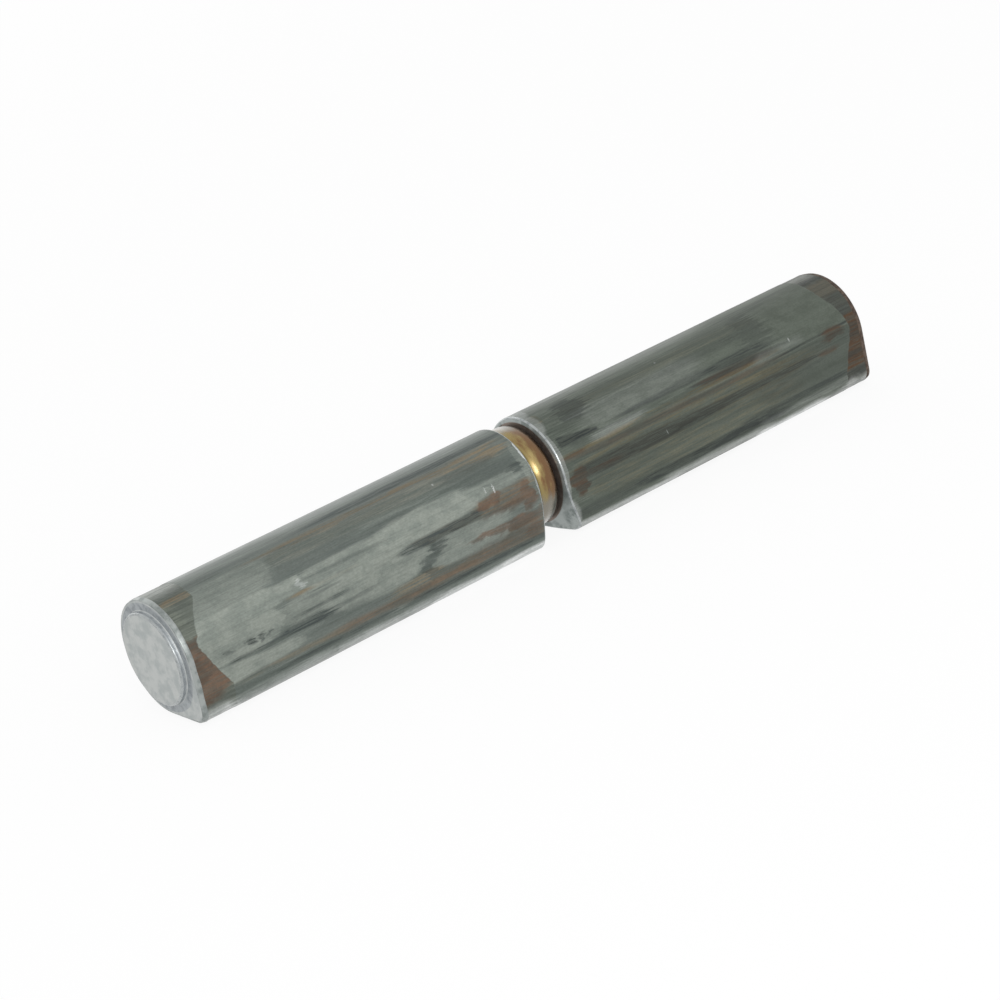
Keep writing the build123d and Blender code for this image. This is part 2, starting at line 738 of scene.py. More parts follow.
@dataclass(frozen=True)
class DrawnSteel:
    """Cold-drawn steel bar with its oiled dark scale.

    The scale gives a dull grey-green sheen with fine lines along the bar. Where dies and hands
    wiped it the steel is paler and smoother, and damp has left a brown film and rust. Some of
    its dark patches are painted shade, and some of its bare ones painted highlights and sheen.

    Attributes:
        name: the material's name.
        side: which way the knuckle points.
        patches: its marks, grouped by kind.
        underfill: its unfilled closed end.
        scale: the smooth skin's scale.
        end: the unfilled steel's scale.
        coats: what each mark leaves, each laid over the ones before it.
        roughness: from 0 to 1.
        metallic: from 0 to 1.
        oil: weight of the oil's clear coat, 0 to 1.
        line_tone: how strongly the drawing lines change the tone.
        grit_tone: how far the grit makes it lighter and darker, as a share.
        grit_roughness: what the grit adds to the roughness.
        skin_pits: height of the grit on the smooth skin, next to the lines' 1.
        end_pits: how much higher it is on the unfilled steel.
        relief: depth of the relief, mm.
    """

    name: str
    side: Half
    patches: tuple[Patch, ...]
    underfill: Underfill
    scale: Coat
    end: Coat
    coats: tuple[tuple[Mark, Coat], ...]
    roughness: float = 0.42
    metallic: float = 0.45
    oil: float = 0.15
    line_tone: float = 1.6
    grit_tone: float = 0.13
    grit_roughness: float = 0.14
    skin_pits: float = 0.6
    end_pits: float = 2.5
    relief: float = 0.03

    def material(self, axis_height: float, face_x: float) -> bpy.types.Material:
        """Build the node material.

        Args:
            axis_height: height of the hinge axis, mm.
            face_x: distance of the running face from the middle of the hinge, mm.

        Returns:
            The material.
        """
        made, tree = blank_material(self.name)
        places = Places.on_knuckle(tree, axis_height, face_x, self.side)
        beyond = self.underfill.mask(tree, places)
        look = self._tones(tree, self.scale, places)
        roughness: Feed | float = self.roughness
        metallic: Feed | float = self.metallic
        lined: Feed | float = self.scale.lined
        for share, coat in self._shares(tree, places, beyond):
            look = add_node(
                tree,
                "Mix",
                {0: share, 6: look, 7: self._tones(tree, coat, places)},
                data_type="RGBA",
            ).outputs[2]
            lined = add_node(tree, "Mix", {0: share, 2: lined, 3: coat.lined}, data_type="FLOAT")
            roughness, metallic = (
                add_node(tree, "Math", {0: share, 1: more, 2: so_far}, operation="MULTIPLY_ADD")
                for more, so_far in ((coat.roughness, roughness), (coat.metallic, metallic))
            )
        gritty = add_node(
            tree,
            "Math",
            {0: places.grit, 1: self.grit_roughness, 2: roughness},
            operation="MULTIPLY_ADD",
        )
        shader = add_node(
            tree,
            "BsdfPrincipled",
            {
                "Base Color": self._shaded(tree, places, look, lined),
                "Metallic": metallic,
                "Roughness": gritty,
                "Normal": self._relief(tree, places, beyond),
                "Coat Weight": self.oil,
                "Coat Roughness": 0.3,
            },
        )
        add_node(tree, "OutputMaterial", {0: shader})
        return made

    def _shares(
        self, tree: bpy.types.NodeTree, places: Places, beyond: Feed
    ) -> list[tuple[Feed, Coat]]:
        """Every coat over the scale, with where it lies.

        Args:
            tree: node tree that gets the masks.
            places: where a point lies.
            beyond: mask of the unfilled steel.

        Returns:
            Mask and coat, in the order in which they came.
        """
        skin = add_node(tree, "Math", {0: 1.0, 1: beyond}, operation="SUBTRACT")
        zones = {Zone.SKIN: skin, Zone.END: beyond}
        shares = [(beyond, self.end)]
        for mark, coat in self.coats:
            mask = self._gather(tree, places, mark, zones)
            shares.append((self._broken(tree, places, mask, coat.whole), coat))
        return shares

    def _gather(
        self,
        tree: bpy.types.NodeTree,
        places: Places,
        mark: Mark,
        zones: dict[Zone, Feed],
    ) -> Feed | float:
        """Join the masks of every patch with one mark.

        Args:
            tree: node tree that gets it.
            places: where a point lies.
            mark: which patches.
            zones: mask of each kind of steel.

        Returns:
            The joined mask, 0 to 1.
        """
        whole: Feed | float = 0.0
        for patch in (p for p in self.patches if p.mark is mark):
            mask = patch.mask(tree, places)
            if patch.zone in zones:
                mask = add_node(tree, "Math", {0: mask, 1: zones[patch.zone]}, operation="MULTIPLY")
            whole = add_node(tree, "Math", {0: mask, 1: whole}, operation="MAXIMUM")
        return whole

    def _broken(
        self, tree: bpy.types.NodeTree, places: Places, mask: Feed | float, whole: float
    ) -> Feed:
        """Break a mask up into streaks along the bar.

        Args:
            tree: node tree that gets it.
            places: where a point lies.
            mask: the mask.
            whole: share of it left between the streaks.

        Returns:
            The broken mask.
        """
        both = add_node(
            tree, "Math", {0: places.lines, 1: 1.6, 2: places.streaks}, operation="MULTIPLY_ADD"
        )
        # the two noises add up to 1.3 in the mean, so half of the mask is broken up
        kept = add_node(
            tree,
            "MapRange",
            {0: both, 1: 1.2, 2: 1.4, 3: whole, 4: 1.0},
            interpolation_type="SMOOTHSTEP",
        )
        return add_node(tree, "Math", {0: mask, 1: kept}, operation="MULTIPLY")

    def _tones(self, tree: bpy.types.NodeTree, coat: Coat, places: Places) -> Feed:
        """Colour of a coat, from its deeper to its lighter tone by bands and streaks.

        Args:
            tree: node tree that gets it.
            coat: the coat.
            places: where a point lies.

        Returns:
            The colour.
        """
        fine = places.streaks if coat.lined > 0.5 else places.blots
        both = add_node(tree, "Math", {0: places.bands, 1: fine}, operation="ADD")
        # the two noises add up to 1 in the mean, so both tones take about half
        share = add_node(
            tree,
            "MapRange",
            {0: both, 1: 0.82, 2: 1.16},
            interpolation_type="SMOOTHSTEP",
        )
        return add_node(
            tree,
            "Mix",
            {0: share, 6: linear(coat.deep), 7: linear(coat.light)},
            data_type="RGBA",
        ).outputs[2]

    def _shaded(
        self, tree: bpy.types.NodeTree, places: Places, look: Feed, lined: Feed | float
    ) -> Feed:
        """Lighten and darken a colour by the drawing lines and the grit.

        Args:
            tree: node tree that gets it.
            places: where a point lies.
            look: the colour.
            lined: how clearly the lines show, 0 to 1.

        Returns:
            The colour.
        """
        swing = add_node(tree, "Math", {0: places.lines, 1: 0.5}, operation="SUBTRACT")
        swung = add_node(tree, "Math", {0: swing, 1: lined}, operation="MULTIPLY")
        gritty = add_node(
            tree,
            "MapRange",
            {0: places.grit, 1: 0.3, 2: 0.7, 3: 1 - self.grit_tone, 4: 1 + self.grit_tone},
        )
        shade = add_node(
            tree,
            "Math",
            {0: swung, 1: self.line_tone, 2: gritty},
            operation="MULTIPLY_ADD",
        )
        return add_node(tree, "VectorMath", {0: look, "Scale": shade}, operation="SCALE")

    def _relief(self, tree: bpy.types.NodeTree, places: Places, beyond: Feed) -> Feed:
        """Relief of the drawing lines and the grit.

        Args:
            tree: node tree that gets it.
            places: where a point lies.
            beyond: mask of the unfilled steel, whose grit is higher.

        Returns:
            The normal.
        """
        rough = add_node(
            tree,
            "Math",
            {0: beyond, 1: self.end_pits, 2: self.skin_pits},
            operation="MULTIPLY_ADD",
        )
        height = add_node(
            tree,
            "Math",
            {0: places.grit, 1: rough, 2: places.lines},
            operation="MULTIPLY_ADD",
        )
        return add_node(
            tree,
            "Bump",
            {"Strength": 0.4, "Distance": self.relief * MM, "Height": height},
        )


@dataclass(frozen=True)
class PlainMetal:
    """Plain metal with a grain: coined, pressed, turned, rubbed or ground steel.

    Attributes:
        name: the material's name.
        bright: colour of clean metal.
        stained: colour where it has dulled.
        roughness: from 0 to 1.
        stain_roughness: what a dull patch adds to it.
        metallic: from 0 to 1.
        stain_size: size of the dull patches, mm.
        stain_share: how much of the surface is dull, 0 to 1.
        ring_pitch: spacing of tool rings about the axis, mm, or 0 for none.
        grain: size of the fine grain, mm, coarser than the real one's so that it shows.
        relief: depth of the relief, mm.
    """

    name: str
    bright: str
    stained: str
    roughness: float = 0.35
    stain_roughness: float = 0.15
    metallic: float = 1.0
    stain_size: float = 2.0
    stain_share: float = 0.4
    ring_pitch: float = 0.0
    grain: float = 0.15
    relief: float = 0.02

    def material(self, axis_height: float) -> bpy.types.Material:
        """Build the node material.

        Args:
            axis_height: height of the hinge axis, mm.

        Returns:
            The material.
        """
        made, tree = blank_material(self.name)
        spot = AxisPlace.of(tree, axis_height)
        stains, height = (
            add_node(
                tree,
                "TexNoise",
                {"Vector": spot.point, "Scale": scale, "Detail": detail, "Roughness": 0.6},
            )
            for scale, detail in ((1 / self.stain_size, 5.0), (0.5 / self.grain, 3.0))
        )
        # nearly all of the noise lies between 0.32 and 0.68
        middle = 0.68 - 0.36 * self.stain_share
        stained = add_node(
            tree,
            "MapRange",
            {0: stains, 1: middle - 0.12, 2: middle + 0.12},
            interpolation_type="SMOOTHSTEP",
        )
        colour = add_node(
            tree,
            "Mix",
            {0: stained, 6: linear(self.bright), 7: linear(self.stained)},
            data_type="RGBA",
        ).outputs[2]
        if self.ring_pitch:
            place = add_node(tree, "CombineXYZ", {0: spot.away, 1: spot.along})
            rings = add_node(
                tree,
                "TexNoise",
                {"Vector": place, "Scale": 0.7 / self.ring_pitch, "Detail": 2.0},
            )
            height = add_node(tree, "Math", {0: rings, 1: 1.5, 2: height}, operation="MULTIPLY_ADD")
        roughness = add_node(
            tree,
            "Math",
            {0: stained, 1: self.stain_roughness, 2: self.roughness},
            operation="MULTIPLY_ADD",
        )
        normal = add_node(
            tree, "Bump", {"Strength": 0.4, "Distance": self.relief * MM, "Height": height}
        )
        shader = add_node(
            tree,
            "BsdfPrincipled",
            {
                "Base Color": colour,
                "Metallic": self.metallic,
                "Roughness": roughness,
                "Normal": normal,
            },
        )
        add_node(tree, "OutputMaterial", {0: shader})
        return made


@dataclass(frozen=True)
class TurnedBrass:
    """Turned brass whose outer side has tarnished to gold and brown.

    Past the tarnish, at top and bottom, it is painted pale as a reflection of the white room. The tarnish
    is a deeper gold, going brown towards the gap from heavier tarnish and painted shade where the crown
    falls away, and fine lines run round it.

    Attributes:
        name: the material's name.
        pale: painted reflection of the white room, on the crown's top and bottom past the tarnish.
        gold: thin tarnish.
        brown: heavier tarnish, and painted shade where the crown falls away towards the gap.
        low: bearing where the tarnish starts, degrees from +Y towards +Z.
        high: bearing where it stops.
        ruffle: reach of the smears that push those ends about, degrees.
        brown_from: x from which the brown lies, mm.
        push: reach of the smears that push its border about, mm.
        smooth: roughness of the clean smears.
        rough: roughness of the dull ones.
    """

    name: str = "turned_brass"
    pale: str = "#7f7a6e"
    gold: str = "#8f7d49"
    brown: str = "#6d4b22"
    low: float = 92.0
    high: float = 197.0
    ruffle: float = 30.0
    brown_from: float = -0.7
    push: float = 5.0
    smooth: float = 0.24
    rough: float = 0.34

    def material(self, axis_height: float) -> bpy.types.Material:
        """Build the node material.

        Args:
            axis_height: height of the hinge axis, mm.

        Returns:
            The material.
        """
        made, tree = blank_material(self.name)
        spot = AxisPlace.of(tree, axis_height, (self.low + self.high) / 2)
        # bearings are read slowly, so that smears and tool lines run round the washer, and the
        # lines, a few hundredths of a millimetre apart, are drawn at 0.2 mm so that they show
        turn = add_node(tree, "Math", {0: spot.bearing, 1: 0.05}, operation="MULTIPLY")
        unrolled = add_node(tree, "CombineXYZ", {0: turn, 1: spot.along, 2: spot.away})
        smears, lines = (
            add_node(
                tree,
                "TexNoise",
                {"Vector": unrolled, "Scale": scale, "Detail": 3.0, "Roughness": 0.6},
            )
            for scale in (1.1, 5.0)
        )
        roughness = add_node(
            tree, "MapRange", {0: smears, 1: 0.35, 2: 0.65, 3: self.smooth, 4: self.rough}
        )
        relief = add_node(tree, "Bump", {"Strength": 0.3, "Distance": 0.02 * MM, "Height": lines})
        shader = add_node(
            tree,
            "BsdfPrincipled",
            {
                "Base Color": self._tarnished(tree, spot, smears),
                "Metallic": 1.0,
                "Roughness": roughness,
                "Normal": relief,
                "Coat Weight": 1.0,
                "Coat Roughness": 0.25,
            },
        )
        add_node(tree, "OutputMaterial", {0: shader})
        return made

    def _tarnished(self, tree: bpy.types.NodeTree, spot: AxisPlace, smears: Feed) -> Feed:
        """Colour of the brass: painted pale as a reflection at top and bottom, gold where it has
        tarnished, and brown towards the gap from heavier tarnish and painted shade.

        Args:
            tree: node tree that gets it.
            spot: where a point lies.
            smears: noise that ruffles the tarnish.

        Returns:
            The colour.
        """
        off_middle = add_node(tree, "Math", {0: spot.bearing}, operation="ABSOLUTE")
        turned, along = (
            add_node(tree, "Math", {0: smears, 1: reach, 2: place}, operation="MULTIPLY_ADD")
            for reach, place in ((self.ruffle, off_middle), (self.push, spot.along))
        )
        # outside the tarnish, at top and bottom, the brass is painted pale as a reflection of the white
        # room
        end = (self.high - self.low) / 2 + self.ruffle / 2
        tarnish = add_node(
            tree,
            "MapRange",
            {0: turned, 1: end - 14.0, 2: end + 4.0, 3: 1.0, 4: 0.0},
            interpolation_type="SMOOTHSTEP",
        )
        # towards the gap the brown is heavier tarnish and painted shade where the crown falls away
        border = self.brown_from + self.push / 2
        heavy_tarnish_and_shade = add_node(
            tree,
            "MapRange",
            {0: along, 1: border - 0.8, 2: border + 1.0},
            interpolation_type="SMOOTHSTEP",
        )
        tarnished = add_node(
            tree,
            "Mix",
            {0: heavy_tarnish_and_shade, 6: linear(self.gold), 7: linear(self.brown)},
            data_type="RGBA",
        )
        return add_node(
            tree,
            "Mix",
            {0: tarnish, 6: linear(self.pale), 7: tarnished.outputs[2]},
            data_type="RGBA",
        ).outputs[2]


class Finish(IntEnum):
    """Material slots of a knuckle."""

    DRAWN = 0
    COINED = 1
    TURNED = 2
    FACE_AND_BORE = 3
    END_EDGE = 4
    LIP = 5
    # painted shade in the crease round the disc and on the disc's wall
    CREASE_SHADE = 6


@dataclass(frozen=True)
class Waves:
    """Seeded unevenness of a drawn side.

    Attributes:
        length: length of one wave along the bar, mm.
        around: number of waves about the axis.
        depth: how deep they go.
        draw: what they add to the knuckle's seed.
    """

    length: float
    around: int
    depth: float
    draw: int

    def at(self, behind: np.ndarray, turn: np.ndarray, seed: int) -> np.ndarray:
        """Height of the waves, -1 to 1.

        Args:
            behind: distance behind the running face, mm.
            turn: share of a turn about the axis.
            seed: the knuckle's seed.

        Returns:
            Height at each point.
        """
        return noise_field(behind / self.length, turn * self.around, seed + self.draw, self.around)


@dataclass
class Knuckle:
    """One drop-section knuckle with its coined closed end, turned face and blind bore."""

    side: Half
    node: str
    body: str
    slot: str
    steel: DrawnSteel
    bore_radius: float
    bore_depth: float
    seed: int
    section: DropSection = field(default_factory=DropSection)
    mouth_chamfer: float = 0.5
    drill_point_angle: float = 118.0
    face_radius: float = 9.2
    face_bevel_angle: float = 22.0
    end_bevel_width: float = 0.95
    end_bevel_depth: float = 0.25
    end_bevel_wander: float = 0.07    # share by which its width changes round the end
    disc_radius: float = 8.0
    disc_height: float = 1.0
    disc_rim_radius: float = 0.4
    dent_depth: float = 0.03          # broad dents in the coined disc
    pit_depth: float = 0.01           # and finer ones in them
    lip_size: float = 0.25            # the turned bevel runs out in a rubbed, rounded lip
    pressed_lip: float = 0.05         # steel pushed up in front of the end bevel
    bevel_fullness: float = 0.02      # the end bevel stops this far outside its drawn size
    border_wander: float = 0.4        # how far the smooth skin's far edge wanders
    shoulder_dip: float = 0.05        # how hollow the shoulder is pressed
    crease_dip: float = 0.04          # and the crease inside it
    crease_radius: float = 9.35       # the shoulder keeps its scale out to here
    crease_fillet: float = 0.25       # hollow round the foot of the disc
    edge_break: float = 0.05          # what wear has taken off the sharp edges
    turned_break: float = 0.04        # and off the running face's edge
    disc_draft: float = 0.04          # the disc is this much narrower under its rim
    skin: float = 0.03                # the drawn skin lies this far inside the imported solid
    swells: Waves = Waves(9.0, 7, 0.018, 2)
    ripples: Waves = Waves(3.1, 24, 0.006, 3)
    grit: Waves = Waves(1 / 2.2, 130, 0.35, 4)   # depth as a share of the unfilled steel's
    around: int = 352
    side_rings: int = 190
    crowding: float = 0.52            # how much closer the side's rings lie near its ends
    near_face: float = field(init=False)
    length: float = field(init=False)
    off_corner: np.ndarray = field(init=False)

    def __post_init__(self) -> None:
        """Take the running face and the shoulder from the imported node, and spread the points."""
        low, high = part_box(self.node)
        self.near_face, closed = sorted(abs(end[0]) / MM for end in (low, high))
        self.length = closed - self.near_face - self.disc_height
        self.off_corner = self.section.bearings(self.around)

    def build(self, finishes: dict[Finish, bpy.types.Material]) -> bpy.types.Object:
        """Build and dress the knuckle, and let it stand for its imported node.

        Args:
            finishes: every finish but the drawn steel's.

        Returns:
            The knuckle's object.
        """
        axis_height = self.section.radius
        mesh = RingMesh(self.off_corner, CORNER_BEARING, axis_height)
        self._hinge_end(mesh)
        self._barrel(mesh)
        self._closed_end(mesh)
        self._disc(mesh)
        point = self.bore_depth + self.bore_radius / math.tan(
            math.radians(self.drill_point_angle / 2)
        )
        dressed = {**finishes, Finish.DRAWN: self.steel.material(axis_height, self.near_face)}
        made = mesh.build(
            self.node + "_drawn",
            (self._x(point), self._x(self.length + self.disc_height - self.skin)),
            [dressed[finish] for finish in Finish],
            flip=self.side is Half.LOWER,
        )
        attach(made, self.body)
        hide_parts(self.node)
        LOG.info("%s: %d faces", made.name, len(made.data.polygons))
        return made

    def _x(self, behind: np.ndarray | float) -> np.ndarray | float:
        """X of a point this far behind the running face, mm."""
        return self.side.value * (self.near_face + behind)

    def _outline(self, inset: float = 0.0) -> np.ndarray:
        """Distance from the axis to the drawn skin, mm."""
        return self.section.reach(self.off_corner, self.skin + inset)

    def _bevel_edge(self) -> np.ndarray:
        """Where the turned bevel meets the drawn side, mm from the running face."""
        rise = self._outline() - self.face_radius
        return rise * math.tan(math.radians(self.face_bevel_angle))

    def _turn(self) -> np.ndarray:
        """Share of a turn about the axis at each point."""
        return (self.off_corner + math.pi) / (2 * math.pi)

    def _jag(self) -> np.ndarray:
        """How far the end bevel's edge has wandered at each point, -1 to 1."""
        return noise_field(self._turn() * 26, self._turn() * 0, self.seed)

    def _bevel_start(self) -> np.ndarray:
        """Where the end bevel starts, mm from the running face."""
        return self.length - self.end_bevel_width * (1 + self.end_bevel_wander * self._jag())

    def _hinge_end(self, mesh: RingMesh) -> None:
        """Add the bore, the running face and the turned bevel.

        Args:
            mesh: mesh that gets the rings.
        """
        bore, mouth = self.bore_radius, self.bore_radius + self.mouth_chamfer
        for share in (1.0, 0.75, 0.5, 0.25, 0.03):
            mesh.ring(self._x(self.bore_depth * share), bore, Finish.FACE_AND_BORE)
        mesh.ring(self._x(self.mouth_chamfer), bore, Finish.FACE_AND_BORE)
        for share in (0.0, 0.03, 0.5, 0.95):
            mesh.ring(self._x(0.0), mouth + (self.face_radius - mouth) * share, Finish.FACE_AND_BORE)
        mesh.ring(self._x(0.0), self.face_radius - self.turned_break, Finish.FACE_AND_BORE)
        reach, edge = self._outline(), self._bevel_edge()
        rise = reach - self.face_radius
        flat_share = 1 - np.minimum(self.lip_size, 0.6 * rise) / rise
        for share in (0.05, 0.3, 0.6, 0.9, 1.0):
            mesh.ring(
                self._x(edge * flat_share * share),
                self.face_radius + rise * flat_share * share,
                Finish.TURNED,
            )
        # the lip is a curve from the bevel through its edge to the side
        for step in (0.15, 0.35, 0.55, 0.75, 0.9):
            before, at_edge, after = (1 - step) ** 2, 2 * step * (1 - step), step**2
            mesh.ring(
                self._x(edge * (before * flat_share + at_edge) + (edge + self.lip_size) * after),
                (self.face_radius + rise * flat_share) * before + reach * (at_edge + after),
                Finish.LIP,
            )

    def _barrel(self, mesh: RingMesh) -> None:
        """Add the drawn side, with its waves, its unfilled end and the lip of pressed steel.

        Args:
            mesh: mesh that gets the rings.
        """
        reach, turn = self._outline(), self._turn()
        start, stop = self._bevel_edge() + self.lip_size, self._bevel_start()
        raised = self.pressed_lip * smooth_step(self._jag(), 0.0, 0.5)
        border = self.steel.underfill.border(self.off_corner)
        wander = self.border_wander * noise_field(turn * 34, turn * 0 + 3, self.seed + 1)
        even = np.linspace(0, 1, self.side_rings)
        crowded = even - self.crowding * np.sin(2 * math.pi * even) / (2 * math.pi)
        for share in crowded:
            behind = start + (stop - start) * share
            sunk = self.steel.underfill.depth * smooth_step(behind - border - wander, -0.2, 0.3)
            down = sunk * (1 + self.grit.depth * self.grit.at(behind, turn, self.seed))
            for waves in (self.swells, self.ripples):
                down = down + waves.depth * (1 + waves.at(behind, turn, self.seed))
            down = down * smooth_step(np.float64(share), 0.0, 0.01)
            # a ridge 0.15 mm short of the bevel, 0.12 mm to where it has fallen off
            lip = raised * np.exp(-(((behind - stop + 0.15) / 0.12) ** 2))
            mesh.ring(self._x(behind), reach - np.maximum(down - lip, 0.0), Finish.DRAWN)

    def _closed_end(self, mesh: RingMesh) -> None:
        """Add the end bevel, the shoulder and the crease round the disc.

        Args:
            mesh: mesh that gets the rings.
        """
        start, inner = self._bevel_start(), self._outline(self.end_bevel_depth)
        outer = self._outline(self.edge_break)
        for share in (0.06, 0.3, 0.55, 0.8):
            bulge = 0.1 * math.sin(math.pi * share)
            mesh.ring(
                self._x(start + (self.length - start) * share),
                outer + (inner - outer) * (share - bulge),
                Finish.END_EDGE,
            )
        edge = inner + self.bevel_fullness
        mesh.ring(self._x(self.length - self.edge_break), edge, Finish.END_EDGE)
        foot = self.disc_radius + self.crease_fillet
        for share, finish in ((0.1, Finish.END_EDGE), (0.5, Finish.COINED), (0.95, Finish.COINED)):
            mesh.ring(
                self._x(self.length - self.shoulder_dip * math.sin(math.pi * share)),
                edge - self.edge_break + (self.crease_radius - inner) * share,
                finish,
            )
        # the crease round the disc's foot takes the painted shade
        for share in (0.1, 0.4, 0.7, 1.0):
            mesh.ring(
                self._x(self.length - self.crease_dip * math.sin(math.pi * share)),
                self.crease_radius - self.edge_break + (foot - self.crease_radius) * share,
                Finish.CREASE_SHADE,
            )
        for share, finish in ((0.3, Finish.CREASE_SHADE), (0.7, Finish.COINED), (1.0, Finish.CREASE_SHADE)):
            angle = share * math.pi / 2
            mesh.ring(
                self._x(self.length + self.crease_fillet * (1 - math.cos(angle))),
                foot - self.edge_break - (self.crease_fillet - self.edge_break) * math.sin(angle),
                finish,
            )

    def _disc(self, mesh: RingMesh) -> None:
        """Add the coined disc, with its rounded rim and soft dents.

        Args:
            mesh: mesh that gets the rings.
        """
        rim = self.disc_rim_radius
        wall = self.disc_height - rim - self.skin
        waist = self.disc_radius - self.disc_draft
        # the disc's wall takes the crease's painted shade up to its rim
        mesh.ring(self._x(self.length + 0.55 * wall), waist, Finish.CREASE_SHADE)
        for step in np.linspace(0, 1, 8):
            angle = step * math.pi / 2
            mesh.ring(
                self._x(self.length + wall + rim * math.sin(angle)),
                self.disc_radius - rim * (1 - math.cos(angle)),
                Finish.CREASE_SHADE if step < 0.3 else Finish.LIP,
            )
        top = self.length + self.disc_height - self.skin
        flat = self.disc_radius - rim
        for share in np.linspace(0.97, 0.03, 26):
            across, up = (flat * share * wave(self.off_corner) for wave in (np.cos, np.sin))
            dent = noise_field(across * 0.9 + 40, up * 0.9 + 40, self.seed + 6)
            pit = noise_field(across * 2.6 + 90, up * 2.6 + 90, self.seed + 7)
            sunk = self.dent_depth * (1 + dent) + self.pit_depth * (1 + pit)
            sunk = sunk * smooth_step(np.float64(1 - share), 0.0, 0.1)
            mesh.ring(self._x(top - sunk), flat * share, Finish.COINED)


@dataclass
class ThrustWasher:
    """Turned brass ring with a crowned rim."""

    node: str = "thrust_washer"
    body: str = "washer"
    slot: str = "washer_brass"
    bore_radius: float = 6.05
    bore_chamfer: float = 0.4
    lower_side_radius: float = 7.95   # worn rounder against the lower half
    lower_side_power: float = 1.9     # 2 is a round side, more a squarer one
    upper_side_radius: float = 8.7
    upper_side_power: float = 4.0
    crown_radius: float = 9.1
    crown_share: float = 0.5          # of the width, where it is highest
    crown_worn: float = 0.015         # how uneven wear has made the crown
    edge_break: float = 0.08
    edge_share: float = 0.012         # of the width, between a side and the crown's first ring
    skin: float = 0.02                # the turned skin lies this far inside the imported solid
    around: int = 256
    crown_rings: int = 25
    seed: int = 11

    def build(self, brass: bpy.types.Material, axis_height: float) -> bpy.types.Object:
        """Build and dress the washer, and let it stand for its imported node.

        Args:
            brass: its finish.
            axis_height: height of the hinge axis, mm.

        Returns:
            The washer's object.
        """
        low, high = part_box(self.node)
        start, stop = low[0] / MM, high[0] / MM
        bearings = np.linspace(0, 2 * math.pi, self.around, endpoint=False)
        mesh = RingMesh(bearings, 0.0, axis_height)
        mouth = self.bore_radius + self.bore_chamfer
        mesh.ring(start + self.bore_chamfer, self.bore_radius)
        mesh.ring(start, mouth)
        mesh.ring(start, self.lower_side_radius - self.edge_break)
        worn = self.skin + self.crown_worn * noise_field(bearings * 5, bearings * 0, self.seed)
        for step in np.linspace(0, 1, self.crown_rings):
            share = self.edge_share + (1 - 2 * self.edge_share) * step
            mesh.ring(start + (stop - start) * share, self._crown(step) - worn)
        mesh.ring(stop, self.upper_side_radius - self.edge_break)
        mesh.ring(stop, mouth)
        mesh.ring(stop - self.bore_chamfer, self.bore_radius)
        made = mesh.build(self.node + "_turned", None, [brass], flip=False)
        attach(made, self.body)
        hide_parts(self.node)
        LOG.info("%s: %d faces", made.name, len(made.data.polygons))
        return made

    def _crown(self, step: float) -> float:
        """Radius of the crowned rim.

        Args:
            step: share of the width from the lower side.

        Returns:
            Radius in mm.
        """
        if step < self.crown_share:
            side, power, reach = self.lower_side_radius, self.lower_side_power, self.crown_share
        else:
            side, power, reach = self.upper_side_radius, self.upper_side_power, 1 - self.crown_share
        off_crown = abs(step - self.crown_share) / reach
        return self.crown_radius - (self.crown_radius - side) * off_crown**power


@dataclass
class HingePin:
    """Ground steel pin, shown as packed."""

    node: str = "hinge_pin"

    def dress(self, frame: dict, steel: bpy.types.Material) -> None:
        """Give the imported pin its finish.

        Args:
            steel: the finish.
        """
        pin = frame["nodes"][self.node]
        pin.data.materials.clear()
        pin.data.materials.append(steel)
        LOG.info("%s: dressed", self.node)


@dataclass(frozen=True)
class Lamp:
    """A soft square lamp that looks at the hinge.

    Attributes:
        name: the lamp's name.
        place: where it stands, mm.
        size: side of its square, mm.
        power: power, W.
    """

    name: str
    place: tuple[float, float, float]
    size: float
    power: float

    def build(self) -> None:
        """Add the lamp."""
        light = bpy.data.lights.new(self.name, "AREA")
        light.shape = "SQUARE"
        light.size = self.size * MM
        light.energy = self.power
        made = bpy.data.objects.new(self.name, light)
        made.location = Vector(self.place) * MM
        made.rotation_euler = (-Vector(self.place)).to_track_quat("-Z", "Y").to_euler()
        bpy.context.collection.objects.link(made)


